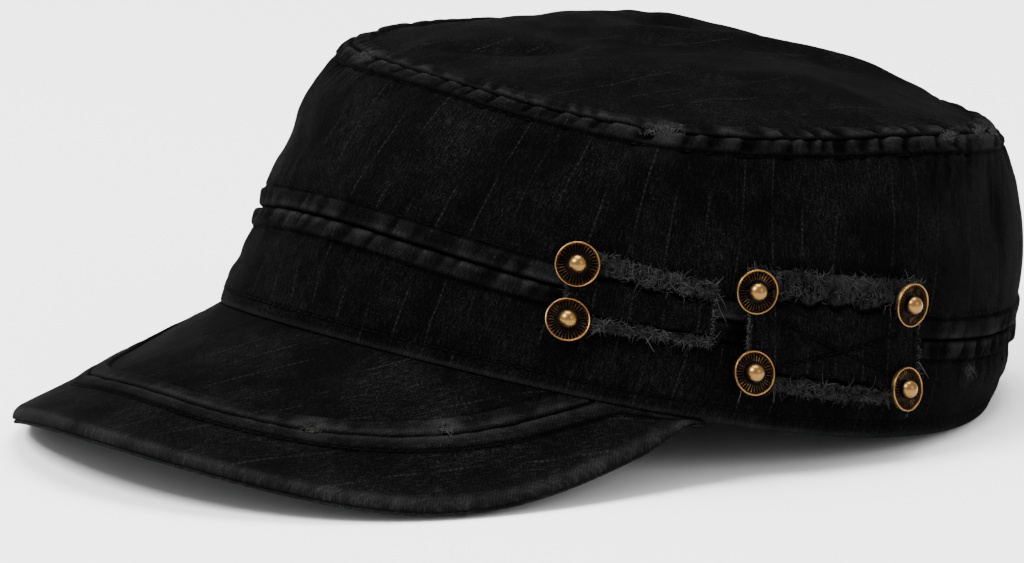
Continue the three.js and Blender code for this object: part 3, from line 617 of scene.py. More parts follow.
def add_piece(name, points, faces, material, slot, stands_for=()):
    """A mesh in the cap's frame, from points in millimetres, that rides on the cap's body."""
    mesh = bpy.data.meshes.new(name)
    mesh.from_pydata((points - FOOTPRINT_MIDDLE) * MM, [], faces)
    mesh.validate()
    piece = bpy.data.objects.new(name, mesh)
    bpy.context.scene.collection.objects.link(piece)
    mesh.materials.append(material)
    mesh.shade_smooth()
    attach(piece, "root")
    if stands_for:
        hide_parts(*stands_for)
    return piece


def give(piece, name, values):
    """A number for each point of a piece, which its material reads."""
    attribute = piece.data.attributes.new(name, "FLOAT", "POINT")
    attribute.data.foreach_set("value", np.asarray(values, np.float32).ravel())


def skin_faces(rows, columns, ring):
    """Four-cornered faces of rows that wrap round, whose columns are a ring or an open line."""
    r, c = np.meshgrid(np.arange(rows), np.arange(columns if ring else columns - 1), indexing="ij")
    r, c = r.ravel(), c.ravel()
    up, on = (r + 1) % rows, (c + 1) % columns
    return np.stack([r * columns + c, r * columns + on, up * columns + on, up * columns + c], -1)


def volume_of(points, faces):
    a, b, c, d = (points[faces[:, k]] for k in range(4))
    return ((a * np.cross(b, c)).sum() + (a * np.cross(c, d)).sum()) / 6


def both_faces(values, inner, inner_value=0.0):
    """A skin's values from 0 to 1: those of its outer face, then one value all over its inner face."""
    return np.clip(np.concatenate([values, np.full(inner.shape[:2], inner_value)]), 0, 1)


def lay_cloth(name, rows, across, along, wear_and_highlight, painted_shade, ring, dress):
    """A closed piece of cloth from rows of points that wrap round it, with its map in millimetres of cloth.

    Its dress is its material, its slot and the solids that it stands for."""
    count, columns = rows.shape[:2]
    points = rows.reshape(-1, 3)
    quads = skin_faces(count, columns, ring)
    inside_out = volume_of(points, quads) < 0
    faces = [list(q) for q in (quads[:, ::-1] if inside_out else quads).tolist()]
    if not ring:
        near = [r * columns for r in range(count)]
        far = [r * columns + columns - 1 for r in reversed(range(count))]
        faces += [near[::-1], far[::-1]] if inside_out else [near, far]
    piece = add_piece(name, points, faces, *dress)
    give(piece, "wear_and_highlight", wear_and_highlight)
    give(piece, "painted_shade", painted_shade)
    lay_map(piece, across, along, columns, ring)
    return piece


def lay_map(piece, across, along, columns, ring):
    """The cloth's own map. On a ring the last column's map runs on past the first's."""
    mesh = piece.data
    corner = np.zeros(len(mesh.loops), int)
    mesh.loops.foreach_get("vertex_index", corner)
    row, column = corner // columns, corner % columns
    if ring:
        starts = np.zeros(len(mesh.polygons), int)
        sizes = np.zeros(len(mesh.polygons), int)
        mesh.polygons.foreach_get("loop_start", starts)
        mesh.polygons.foreach_get("loop_total", sizes)
        face = np.repeat(np.arange(len(starts)), sizes)
        reaches_last = np.zeros(len(starts), bool)
        np.logical_or.at(reaches_last, face, column == columns - 1)
        column = np.where((column == 0) & reaches_last[face], columns, column)
    row = np.minimum(row, across.shape[0] - 1)
    uv = np.stack([across[row, column], along[row, column]], -1) * UV_UNIT
    layer = mesh.uv_layers.new(name="cloth")
    layer.data.foreach_set("uv", uv.astype(np.float32).ravel())


def seam_relief(angle_wave, distance, strip, pucker):
    """Height, wear with a painted highlight on pucker crests, and painted shade of cloth beside a seam:
    folded edge, raised strip and sunk stitches.
    """
    folded = rounded(distance, EDGE_ROUND)
    on_strip = 1 - ease(strip - 0.3, strip + 0.45, distance)
    line = bell((distance - strip) / 0.45)
    arch = np.sin(np.pi * np.clip(distance / strip, 0, 1)) ** 0.6
    pulled = np.exp(-np.maximum(distance - strip, 0) / 5) * 0.5 * (distance > strip)
    wave = np.tanh(3.2 * angle_wave(distance))
    height = (folded - 1) * 0.6 + SEAM_RIDGE * on_strip * folded - 0.42 * line
    height = height + pucker * wave * (arch * on_strip + pulled)
    showing = np.minimum(1, pucker / 0.8)
    raised, hollow = showing * np.maximum(0, wave), showing * np.minimum(0, wave)
    # Real wear on the folded edge and the strip, and a painted highlight on the crests of the puckers
    crest_wear_and_highlight = 0.4 * bell((distance - 1.0) / 0.9) * (1 + showing * wave) + on_strip * (0.1 + 0.42 * raised)
    # Painted shade along the seam and the stitch line, and in the troughs of the puckers
    painted_shade = 0.9 * bell(distance / 0.5) + 0.9 * bell((distance - strip) / 0.5)
    painted_shade = painted_shade - (arch * on_strip + 0.5 * pulled) * hollow
    return height, crest_wear_and_highlight, painted_shade


# Pulls in the crown's wall: shallow creases between two places, in degrees and levels, and millimetres.
WALL_CREASES = (
    # angle, level, to_angle, to_level, half_width, depth
    (-1.5, 1.88, 2.5, 1.44, 2.2, 0.5),
    (2.5, 1.85, 6, 1.4, 2.0, 0.4),
    (0, 1.88, -8, 1.55, 2.4, 0.55),
    (-8, 1.44, -4, 1.64, 1.8, -0.5),
    (-24, 1.6, -13, 1.38, 3.0, 0.7),
    (31, 1.88, 35, 1.55, 2.4, 0.35),
    (48.5, 1.9, 55, 1.45, 3.0, 0.5),
    (74, 1.88, 78, 1.6, 2.4, 0.4),
    (88, 1.9, 93, 1.6, 2.4, 0.4),
    (104, 1.85, 110, 1.4, 3.2, 0.5),
    (121, 1.85, 124, 1.4, 3.4, 0.7),
    (172, 1.9, 165, 1.4, 3.4, 0.6),
    (205, 1.8, 214, 1.45, 3.0, 0.5),
    (236, 1.85, 228, 1.5, 3.0, 0.5),
    (262, 1.8, 270, 1.4, 2.6, 0.4),
    (300, 1.85, 308, 1.45, 3.0, 0.5),
)

# Rubbed-through places: pale and sunk, as a reach in millimetres round an angle and a level
WORN_SPOTS = (
    # angle, level, reach
    (50.5, 1.99, 5.5),
    (108, 1.99, 4.0),
    (121, 1.99, 5.0),
    (131, 1.97, 5.0),
    (114, 0.69, 3.0),
    (-17, 1.98, 4.0),
    (205, 1.99, 5.0),
)

# Cloth pieces on the wearer's left. slant is the turn back for one whole level down.
FRONT_TAB = {"from_angle": 43.9, "to_angle": 43.9, "low": 0.666, "high": 1.188, "slant": 1.8, "taper": 0.22}
REAR_PATCH = {"from_angle": 69.5, "to_angle": 95.2, "low": 0.51, "high": 1.21, "slant": 2.7, "taper": 0.0}
TAB_MARGINS = {"above": 4, "below": 1, "ahead": 1.6, "behind": 0}
PATCH_MARGINS = {"above": 5.2, "below": 3.5, "ahead": 1.4, "behind": 4.5}
TAB_LENGTH = 34
COVER_LIFT = 0.35
COVER_COLUMNS, COVER_ROWS = 170, 120

HEM_LINE = 4.0  # millimetres from the rim to the hem's stitches


def turned(angle, middle):
    return (angle - math.radians(middle) + np.pi) % (2 * np.pi) - np.pi


def under_cover(angle, level):
    """How far a place of the wall lies under the tab or the patch, from 0 to 1."""
    total = np.zeros(np.broadcast(angle, level).shape)
    for middle, half, low, high in ((54, 13, 0.6, 1.27), (84, 16, 0.42, 1.32)):
        beside = 1 - ease(math.radians(half), math.radians(half + 4), np.abs(turned(angle, middle)))
        total = np.maximum(total, beside * ease(low - 0.1, low, level) * (1 - ease(high, high + 0.1, level)))
    return total


def wall_levels(crown, angles, low, high, middle_rows):
    """Levels of a wall's rows, close together beside its ends, and their distances from both ends."""
    low_gap, high_gap = (0 if low == RIM else SEAM_GAP / 2), SEAM_GAP / 2
    low_span = crown.span(angles, np.full(angles.shape, low + 0.02))
    high_span = crown.span(angles, np.full(angles.shape, high - 0.02))
    near_low = low + (NEAR_SEAM[:, None] + low_gap) / low_span
    near_high = high - (NEAR_SEAM[::-1, None] + high_gap) / high_span
    share = np.linspace(0, 1, middle_rows + 2)[1:-1, None]
    levels = np.concatenate([near_low, mix(near_low[-1], near_high[0], share), near_high])
    places = crown.wall(angles[None], levels)
    steps = np.linalg.norm(np.diff(places, axis=0), axis=-1)
    above = np.concatenate([np.zeros((1, len(angles))), np.cumsum(steps, axis=0)])
    return levels, above, above[-1] - above


def crease_depth(angle, level):
    depth = np.zeros(np.broadcast(angle, level).shape)
    for from_angle, from_level, to_angle, to_level, half_width, deep in WALL_CREASES:
        line = np.array([math.radians(to_angle - from_angle) * 92, (to_level - from_level) * 55])
        place = np.stack([turned(angle, from_angle) * 92, (level - from_level) * 55 + 0 * angle], -1)
        along = np.clip(place @ line / (line @ line), -0.1, 1.1)
        away = np.linalg.norm(place - along[..., None] * line, axis=-1)
        depth = depth + deep * bell(away / half_width) * np.sin(np.pi * np.clip(along * 0.8 + 0.15, 0, 1))
    return depth


def wall_cloth(crown, name, low, high, thick, middle_rows, seed, dress):
    columns = bpy.context.scene.cap_crown.columns
    angles = np.arange(columns) / columns * 2 * np.pi
    levels, above, below = wall_levels(crown, angles, low, high, middle_rows)
    angle = np.broadcast_to(angles, levels.shape)
    hidden = under_cover(angle, levels)

    def wave(steps, key, slant):
        swell = 0.75 + 0.25 * round_lumps(angle, 0, 16, key + 1)
        return lambda d: swell * (
            0.65 * round_lumps(angle + slant * d, d / 9, steps, key)
            + 0.35 * round_lumps(angle, d / 7, 96, key + 2)
        )

    gather = 1 + 0.9 * bell(turned(angle, 98) / 0.75) if high == TOP_SEAM else 1
    top = seam_relief(wave(290, seed, 0.0035), below, crown.strip, 0.9 * gather)
    if low == RIM:
        folded = rounded(above, EDGE_ROUND)
        stitch = bell((above - HEM_LINE) / 0.45)
        # Height, wear of the folded rim, and painted shade in the hem's stitch line
        bottom = (folded - 1) * 0.9 - 0.3 * stitch, 0.55 * bell((above - 0.6) / 0.8), 0.5 * stitch
    else:
        bottom = seam_relief(wave(250, seed + 5, -0.003), above, crown.strip, 0.5)
    calm = ease(0, 7, above) * ease(0, 7, below)
    soft = 0.6 * round_lumps(angle, levels * 3.1, 12, seed + 7)
    soft = soft + 0.28 * round_lumps(angle, levels * 8, 34, seed + 8)
    ripple = 0.1 * round_lumps(angle, levels * 16, 110, seed + 9)
    out = top[0] + bottom[0] + (1 - 0.8 * hidden) * calm * (soft + ripple)
    if low == RIM:
        out = out - 1.2 * bell((levels - 0.45) / 0.2) * bell(turned(angle, -38) / 0.5)
    if high == TOP_SEAM:
        out = out - calm * crease_depth(angle, levels) * (1 - hidden)
    wear_and_highlight, painted_shade = top[1] + bottom[1], top[2] + bottom[2]
    for spot_angle, spot_level, reach in WORN_SPOTS:
        middle = crown.wall(math.radians(spot_angle), spot_level)
        away = np.linalg.norm(crown.wall(angle, levels) - middle, axis=-1)
        frayed = bell(away / reach) * (0.6 + 0.6 * round_lumps(angle, levels * 40, 200, seed + 11))
        wear_and_highlight = wear_and_highlight + np.maximum(0, frayed)
        out = out - 0.5 * bell(away / reach * 1.6)
    outer = crown.out(angle, levels, out)
    inner_levels = mix(levels[-1], levels[0], np.linspace(0, 1, INNER_ROWS)[:, None])
    inner = crown.out(angles[None] + 0 * inner_levels, inner_levels, np.full(inner_levels.shape, -thick))
    if high == TOP_SEAM:
        corner = mitre(crown.normal(angles, levels[-1]), crown.top_normal(angles, np.full(columns, 0.99)))
        inner[0] = crown.wall(angles, levels[-1]) - thick * corner
    middle_line = crown.wall(np.append(angles, 2 * np.pi), np.full(columns + 1, (low + high) / 2))
    round_it = np.append(0, np.cumsum(np.linalg.norm(np.diff(middle_line, axis=0), axis=-1)))
    rows = np.concatenate([outer, inner])
    across = np.broadcast_to(round_it, (len(rows), columns + 1))
    high_up = np.concatenate([above, mix(above[-1], above[0], np.linspace(0, 1, INNER_ROWS)[:, None])])
    along = np.concatenate([high_up, high_up[:, :1]], axis=1)
    return lay_cloth(name, rows, across, along, both_faces(wear_and_highlight, inner), both_faces(painted_shade, inner), True, dress)


def top_cloth(crown, name, dress):
    columns = bpy.context.scene.cap_crown.columns
    angles = np.arange(columns) / columns * 2 * np.pi
    reach = np.linalg.norm(crown.top(angles, 0.97) - crown.top(angles, 1.0), axis=-1) / 0.03
    near = 1 - (NEAR_SEAM[:, None] + SEAM_GAP / 2) / reach
    share = np.linspace(0, 1, 56)[1:, None]
    shares = np.concatenate([near, mix(near[-1], 0.02, share)])
    angle = np.broadcast_to(angles, shares.shape)
    places = crown.top(angle, shares)
    steps = np.linalg.norm(np.diff(places, axis=0), axis=-1)
    inside = np.concatenate([np.zeros((1, columns)), np.cumsum(steps, axis=0)]) + SEAM_GAP / 2

    def wave(d):
        swell = 0.75 + 0.25 * round_lumps(angle, 0, 16, 43)
        fine = 0.65 * round_lumps(angle + 0.004 * d, d / 9, 230, 41)
        return swell * (fine + 0.35 * round_lumps(angle, d / 7, 84, 42))

    pucker = 0.5 * (1 + 0.8 * bell(turned(angle, 98) / 0.8))
    height, wear_and_highlight, painted_shade = seam_relief(wave, inside, crown.strip, pucker)
    x, y = places[..., 0], places[..., 1]
    calm = ease(2, 14, inside)
    swells = 0.75 * lumps(x / 19 + 30, y / 27 + 30, 51) + 0.28 * lumps(x / 7 + 30, y / 10 + 30, 52)
    height = height + calm * swells
    height = height + calm * 0.3 * lumps((x + y * 0.6) / 6 + 40, (y - x * 0.6) / 22 + 30, 53)
    for spot_angle, spot_level, spot_reach in WORN_SPOTS:
        if spot_level > 1.5:
            away = np.linalg.norm(places - crown.wall(math.radians(spot_angle), 2.0), axis=-1)
            frayed = bell(away / spot_reach) * (0.6 + 0.6 * round_lumps(angle, shares * 60, 200, 54))
            wear_and_highlight = wear_and_highlight + np.maximum(0, frayed)
            height = height - 0.5 * bell(away / spot_reach * 1.6)
    outer = places + crown.top_normal(angle, np.clip(shares, SMALL, 1 - SMALL)) * height[..., None]
    inner_shares = np.linspace(0.05, 1, INNER_ROWS)[:, None] * near[0]
    inner = crown.top(angles + 0 * inner_shares, inner_shares)
    upward = crown.top_normal(angles + 0 * inner_shares, np.clip(inner_shares, SMALL, 0.99))
    inner = inner - crown.wall_thick * upward
    wall_normal = crown.normal(angles, np.full(columns, TOP_SEAM - SMALL))
    corner = mitre(wall_normal, crown.top_normal(angles, np.full(columns, 0.99)))
    inner[-1] = crown.top(angles, near[0]) - crown.wall_thick * corner
    rows = np.concatenate([outer, inner])
    count = len(rows)
    points = np.concatenate([rows.reshape(-1, 3), [outer[-1].mean(0), inner[0].mean(0)]])
    quads = skin_faces(count, columns, True).reshape(count, columns, 4)
    quads = np.delete(quads, len(outer) - 1, axis=0).reshape(-1, 4)
    on = np.roll(np.arange(columns), -1)
    last, first = (len(outer) - 1) * columns, len(outer) * columns
    pole = np.full(columns, count * columns)
    poles = np.stack([np.arange(columns) + last, on + last, pole], -1)
    inner_poles = np.stack([on + first, np.arange(columns) + first, pole + 1], -1)
    inside_out = volume_of(points, quads) < 0
    faces = quads.tolist() + poles.tolist() + inner_poles.tolist()
    faces = [face[::-1] for face in faces] if inside_out else faces
    piece = add_piece(name, points, faces, *dress)
    for key, values in (("wear_and_highlight", wear_and_highlight), ("painted_shade", painted_shade)):
        give(piece, key, np.append(both_faces(values, inner).ravel(), [0, 0]))
    corners = np.zeros(len(piece.data.loops), int)
    piece.data.loops.foreach_get("vertex_index", corners)
    uv = points[corners][:, :2] * UV_UNIT
    layer = piece.data.uv_layers.new(name="cloth")
    layer.data.foreach_set("uv", uv.astype(np.float32).ravel())
    return piece


# The peak

# Profiles of its edge, as millimetres inwards and down: the border's turned-in cloth, and the board below it
BORDER_WRAP = ((0.0, 2.35), (0.25, 2.75), (0.7, 2.8), (1.05, 2.5), (1.15, 1.9), (2.0, 1.1))
BOARD_EDGE = (
    (1.45, 2.2), (1.3, 2.9), (0.8, 3.05), (0.4, 3.25), (0.3, 3.5), (0.45, 3.8), (0.8, 4.05), (1.4, 4.2),
)


def peak_columns(peak, count, panel):
    """Directions of the peak's columns. The upper panel has only those where its seam is out of the band."""
    directions = np.linspace(-PEAK_ENDS, PEAK_ENDS, count)
    if not panel:
        return directions
    clear = directions[peak.seam(directions) - peak.rim(directions) > 0.25]
    return np.linspace(clear[0], clear[-1], count)


def peak_thinning(peak, directions):
    """Share of its thickness that the peak keeps. Its ends are pressed flat where they go under the band."""
    return mix(0.35, 1, ease(0, 9, peak.edge(directions) - peak.rim(directions)))


def peak_waves(peak, direction, reach, seed):
    """Soft unevenness of the peak's cloth, in millimetres."""
    x, y = peak.plan(direction, reach)
    return 0.3 * lumps(x / 24 + 30, y / 18 + 30, seed) + 0.12 * lumps(x / 7 + 30, y / 7 + 30, seed + 1)


# Frayed holes beside the peak's seam, as a direction in degrees, millimetres outside the seam, and a reach
PEAK_HOLES = (
    # direction, outside, reach
    (25.4, -0.4, 3.2),
    (43.0, -1.6, 2.8),
)


def peak_spots(peak, places):
    """Wear, hollows and painted shade in the peak's frayed holes."""
    wear_and_highlight, sunk, painted_shade = (np.zeros(places.shape[:2]) for _ in range(3))
    for direction, outside, reach in PEAK_HOLES:
        at = math.radians(direction)
        middle = peak.top(np.array([at]), peak.seam(np.array([at])) + outside)[0]
        away = np.linalg.norm((places - middle)[..., :2], axis=-1)
        wear_and_highlight = wear_and_highlight + 1.3 * bell(away / reach)
        sunk = sunk + 0.7 * bell(away / (0.45 * reach))
        # Painted shade inside the holes
        painted_shade = painted_shade + 2.0 * bell(away / (0.34 * reach))
    return wear_and_highlight, sunk, painted_shade


def peak_skin(name, over, under, wear_and_highlight, painted_shade, dress):
    """A piece of the peak from its upper and lower rows, its warp turned a little to the cap's length."""
    rows = np.concatenate([over, under])
    turn = math.radians(20)
    x, y = rows[..., 0], rows[..., 1]
    across, along = x * math.cos(turn) - y * math.sin(turn), x * math.sin(turn) + y * math.cos(turn)
    wear_and_highlight, painted_shade = both_faces(wear_and_highlight, under, 0.15), both_faces(painted_shade, under)
    return lay_cloth(name, rows, across, along, wear_and_highlight, painted_shade, False, dress)


def peak_panel_cloth(peak, name, dress):
    directions = peak_columns(peak, bpy.context.scene.cap_peak.columns, True)
    near, seam = peak.rim(directions, peak.crown.band_thick), peak.seam(directions) - SEAM_GAP / 2
    inward = seam - near
    beside = np.minimum(NEAR_SEAM[:, None], inward * np.linspace(0, 0.6, len(NEAR_SEAM))[:, None])
    share = np.linspace(0, 1, 36)[1:, None]
    from_seam = np.concatenate([beside, mix(beside[-1], inward, share)])
    reach = seam - from_seam
    strip = peak.crown.strip

    def wave(d):
        arc = directions * 78
        swell = 0.6 + 0.4 * lumps(arc / 30 + 20, 0, 71)
        return swell * (0.6 * lumps(arc / 2.1 + 90, d / 8, 72) + 0.4 * lumps(arc / 6 + 90, d / 8, 73))

    height, wear_and_highlight, painted_shade = seam_relief(wave, from_seam, strip, 0.3)
    height = height * 0.95
    free = ease(0, 6, reach - peak.rim(directions))
    places = peak.top(directions, reach)
    spot_wear, sunk, spot_painted_shade = peak_spots(peak, places)
    height = height * free + peak_waves(peak, directions, reach, 75) * free * ease(0, 6, from_seam) - sunk
    over = places + [0, 0, 1] * height[..., None]
    back_reach = mix(near, seam, np.linspace(0, 1, 6)[:, None])
    under = peak.top(directions, back_reach) - [0, 0, peak.cover]
    return peak_skin(name, over, under, wear_and_highlight + spot_wear, painted_shade + spot_painted_shade, dress)


def peak_border_cloth(peak, name, dress):
    directions = peak_columns(peak, bpy.context.scene.cap_peak.columns, False)
    near = peak.rim(directions, peak.crown.band_thick)
    seam, edge = np.maximum(peak.seam(directions), near) + SEAM_GAP / 2, peak.edge(directions)
    outward = edge - seam
    room = np.clip(outward / 18, 0.02, 1)
    beside = NEAR_SEAM[:, None] * room
    rounding = np.array([2.4, 1.9, 1.4, 1.0, 0.65, 0.35, 0.15, 0.03])[:, None] * np.minimum(1, outward / 5)
    share = np.linspace(0, 1, 34)[1:-1, None]
    from_seam = np.concatenate([beside, mix(beside[-1], outward - rounding[0], share), outward - rounding])
    reach = seam + from_seam
    from_edge = edge - reach

    def wave(d):
        arc = directions * 84
        swell = 0.6 + 0.4 * lumps(arc / 30 + 20, 0, 81)
        return swell * (0.6 * lumps(arc / 2.2 + 90, d / 8, 82) + 0.4 * lumps(arc / 6 + 90, d / 8, 83))

    height, wear_and_highlight, painted_shade = seam_relief(wave, from_seam, peak.crown.strip * 0.86, 0.3)
    free = ease(0, 6, reach - peak.rim(directions)) * room
    places = peak.top(directions, reach)
    spot_wear, sunk, spot_painted_shade = peak_spots(peak, places)
    calm = ease(0, 6, from_seam) * ease(0, 6, from_edge)
    height = height * 0.95 * free + peak_waves(peak, directions, reach, 85) * calm * free - sunk * free
    bend, thin = 2.1, peak_thinning(peak, directions)
    drop = bend - np.sqrt(np.maximum(bend**2 - np.clip(bend - from_edge, 0, bend) ** 2, 0))
    over = places + [0, 0, 1] * (height - drop * thin)[..., None]
    ripple = lumps(directions * 95 / 2.6 + 90, 0, 87)
    wear_and_highlight = wear_and_highlight + (0.5 + 0.3 * ripple) * bell((from_edge - 0.7) / 0.8) + 0.08 * ease(9, 0, from_edge)
    wraps = []
    for pull, depth in BORDER_WRAP:
        inside = edge - pull * np.minimum(1, outward / 5)
        wraps.append(peak.top(directions, inside) - [0, 0, 1] * (depth * thin)[:, None])
    back_reach = mix(seam, edge - 2.4, np.linspace(1, 0, 6)[1:, None])
    back_reach = np.maximum(np.minimum(back_reach, edge - 2.0 * np.minimum(1, outward / 5)), seam)
    inner = peak.top(directions, back_reach) - [0, 0, 1] * (peak.cover * thin)[:, None]
    under = np.concatenate([np.stack(wraps), inner])
    return peak_skin(name, over, under, wear_and_highlight + spot_wear, painted_shade + spot_painted_shade, dress)


def peak_base_cloth(peak, name, dress):
    directions = peak_columns(peak, bpy.context.scene.cap_peak.columns, False)
    near, edge = peak.rim(directions, peak.crown.band_thick), peak.edge(directions)
    room = np.minimum(1, (edge - near) / 6)
    top_depth = peak.cover + COVER_GAP
    thin = [0, 0, 1] * peak_thinning(peak, directions)[:, None]
    shares = np.linspace(0, 1, 10)
    rows = [peak.top(directions, mix(near, edge - 1.5 * room, share)) - thin * top_depth for share in shares]
    for pull, depth in BOARD_EDGE:
        rows.append(peak.top(directions, edge - pull * room) - thin * depth)
    over = np.stack(rows)
    back = mix(edge - 1.9 * room, near, np.linspace(0, 1, 16)[:, None])
    under = peak.top(directions, back) - thin * peak.thick
    wear_and_highlight = np.zeros(over.shape[:2])
    wear_and_highlight[-6:] = 0.45
    return peak_skin(name, over, under, wear_and_highlight, np.zeros(over.shape[:2]), dress)


# Tab and patch


class Cover:
    """A cloth piece on the crown's wall. Places go back along it in millimetres, and up from 0 to 1."""

    def __init__(self, crown, row, margins, length=None):
        self.crown, self.row, self.margins = crown, row, margins
        middle = math.radians((row["from_angle"] + row["to_angle"]) / 2)
        centre = (row["low"] + row["high"]) / 2
        turn = math.radians(row["to_angle"] - row["from_angle"])
        self.length = length or turn * float(crown.turn_span(middle, centre))
        start = math.radians(row["from_angle"])
        self.start = start
        self.per_turn = float(crown.turn_span(start + self.length / crown.half_length / 2, centre))
        self.bottom = row["low"] - margins["below"] / float(crown.span(start, np.array(row["low"])))
        self.high = row["high"] + margins["above"] / float(crown.span(start, np.array(row["high"])))
        self.wide = self.length + margins["ahead"] + margins["behind"]
        self.tall = (self.high - self.bottom) * float(crown.span(start + 0.2, np.array(centre)))

    def place(self, along, up):
        """Angle and level of a place. along is in millimetres from the piece's front edge."""
        along = along - self.margins["ahead"]
        shrink = self.row["taper"] / 2 * np.maximum(0, along / self.length)
        level = mix(self.bottom, self.high, mix(shrink, 1 - shrink, up))
        slanted = math.radians(self.row["slant"]) * (self.row["high"] - level)
        return self.start + along / self.per_turn + slanted, level

    def under(self, angle, level):
        """Height of its underside: it bridges the band seam's ridge and lies close elsewhere."""
        strip = self.crown.strip * 1.6 / self.crown.span(angle, level)
        over_ridge = 1 - ease(strip, strip * 1.8, np.abs(level - BAND_SEAM))
        return COVER_LIFT + 0.9 * over_ridge

    def surface(self, along, up, height):
        angle, level = self.place(along, up)
        return self.crown.out(angle, level, self.under(angle, level) + height)

    def steps(self, along, up, height):
        """A place on it, the steps of a millimetre backwards and up from there, and its normal."""
        origin = self.surface(along, up, height)
        ahead = self.surface(along + 1.0, up, height) - origin
        raised = self.surface(along, up + 1 / self.tall, height) - origin
        return origin, ahead, raised, unit(np.cross(ahead, raised))


def close_ended(length, inset, count):
    """Steps from 0 to 1 along a length in millimetres, close together beside both ends."""
    side = np.array([0, 0.12, 0.35, 0.7, 1.1, 1.6]) / length
    return np.concatenate([side, np.linspace(inset / length, 1 - inset / length, count), (1 - side)[::-1]])


def cover_cloth(cover, thick, name, crossed, seed, dress):
    """A raw-edged piece. Its upper and lower edges are rolled and frayed, with a slit beside each roll,
    darkened with painted shade.
    """
    along = close_ended(cover.wide, 2.2, COVER_COLUMNS) * cover.wide
    up = close_ended(cover.tall, 2.0, COVER_ROWS)[:, None]
    up, along = np.broadcast_arrays(up, along[None])
    low, high = up * cover.tall, (1 - up) * cover.tall
    ragged = 0.35 * lumps(along / 1.3 + 20, 3, seed) + 0.5 * lumps(along / 5 + 20, 5, seed + 1)
    band = 3.6 + 0.7 * lumps(along / 4 + 9, 2, seed + 2)
    height, wear_and_highlight, painted_shade = np.full(up.shape, thick), np.zeros(up.shape), np.zeros(up.shape)
    for distance, key in ((low, 3), (high, 4)):
        roll = np.sin(np.pi * np.clip(distance / band, 0, 1)) ** 0.7 * (distance < band)
        fuzz = lumps(along / 0.9 + 30, distance / 0.8 + 9 * key, seed + key)
        height = height + roll * (0.4 + 0.5 * fuzz) - 0.75 * bell((distance - band - 0.45) / 0.5)
        wear_and_highlight = wear_and_highlight + (roll > 0) * np.clip(0.35 + 0.75 * fuzz, 0, 1)
        # Painted shadow in the slit beside the roll
        painted_shade = painted_shade + 1.1 * bell((distance - band - 0.45) / 0.45)
    for distance in (along, cover.wide - along):
        height = height - 0.5 * bell((distance - 1.5) / 0.5) * (cover.row is REAR_PATCH)
        wear_and_highlight = wear_and_highlight + 0.5 * bell(distance / 0.7)
    border = np.minimum(np.minimum(low, high), np.minimum(along, cover.wide - along))
    folded = rounded(border, 0.8)
    height = height - (1 - folded) * (thick * 0.6)
    swells = 0.35 * lumps(along / 9 + 9, low / 7, seed + 5) + 0.12 * lumps(along / 3, low / 3, seed + 6)
    height = height + ease(0, 5, border) * swells
    if crossed:
        for line in crossed_lines(cover):
            away = np.full(up.shape, 9.0)
            for a, b in zip(line[:-1], line[1:]):
                way = b - a
                place = np.stack([along, low], -1) - a
                share = np.clip(place @ way / (way @ way), 0, 1)
                away = np.minimum(away, np.linalg.norm(place - share[..., None] * way, axis=-1))
            # The stitch lines sink, with painted shade along them
            height, painted_shade = height - 0.35 * bell(away / 0.5), painted_shade + 0.45 * bell(away / 0.45)
    ragged = ragged * 0.35 / cover.tall * (1 - ease(0, 4, np.minimum(low, high)))
    outer = cover.surface(along, up + ragged, height)
    inner_up = np.linspace(1, 0, 7)[:, None]
    inner = cover.surface(along[:1] + 0 * inner_up, inner_up + 0 * along[:1], np.zeros((7, along.shape[1])))
    rows = np.concatenate([outer, inner])
    across_map = np.concatenate([along, along[:1] + 0 * inner_up])
    along_map = np.concatenate([low, inner_up * cover.tall + 0 * along[:1]])
    wear_and_highlight, painted_shade = both_faces(wear_and_highlight, inner), both_faces(painted_shade, inner)
    return lay_cloth(name, rows, across_map, along_map, wear_and_highlight, painted_shade, False, dress)


def crossed_lines(cover):
    """The two crossing lines of stitches on the rear patch, in millimetres along and up it."""
    left, right, low, high = 9.0, cover.wide - 8.0, 6.5, cover.tall - 7.5
    first = np.array([[left, low], [(left + right) / 2, (low + high) / 2 + 0.6], [right, high]])
    second = np.array([[left, high], [(left + right) / 2, (low + high) / 2 + 0.2], [right, low]])
    return first, second


# Threads, whose radii are in millimetres

STITCH_RADIUS, FRAY_RADIUS, WORN_RADIUS, LOOSE_RADIUS = 0.24, 0.085, 0.095, 0.13
LIFT = 0.05  # millimetres from the cloth to a stitch's middle


def strands(name, paths, radius, tones, material, slot):
    """Thin closed threads along paths (thread, point, place), as one piece."""
    count, steps = paths.shape[:2]
    ahead = unit(np.gradient(paths, axis=1))
    side = unit(np.cross(ahead, np.array([0.31, 0.17, 0.93])))
    over = np.cross(ahead, side)
    taper = np.linspace(1, 0.45, steps)[None, :, None]
    radius = np.broadcast_to(np.asarray(radius, float), (count,))[:, None, None]
    turns = np.arange(3) * 2 * np.pi / 3
    rings = [paths + radius * taper * (side * math.cos(t) + over * math.sin(t)) for t in turns]
    points = np.stack(rings, 2).reshape(-1, 3)
    start = np.arange(count)[:, None] * steps * 3
    faces = []
    for step in range(steps - 1):
        for k in range(3):
            a, b = step * 3 + k, step * 3 + (k + 1) % 3
            faces += np.concatenate([start + a, start + b, start + b + 3, start + a + 3], 1).tolist()
    last = (steps - 1) * 3
    faces += np.concatenate([start + 2, start + 1, start], 1).tolist()
    faces += np.concatenate([start + last, start + last + 1, start + last + 2], 1).tolist()
    piece = add_piece(name, points, faces, material, slot)
    give(piece, "tone", np.repeat(tones, steps * 3))
    return piece


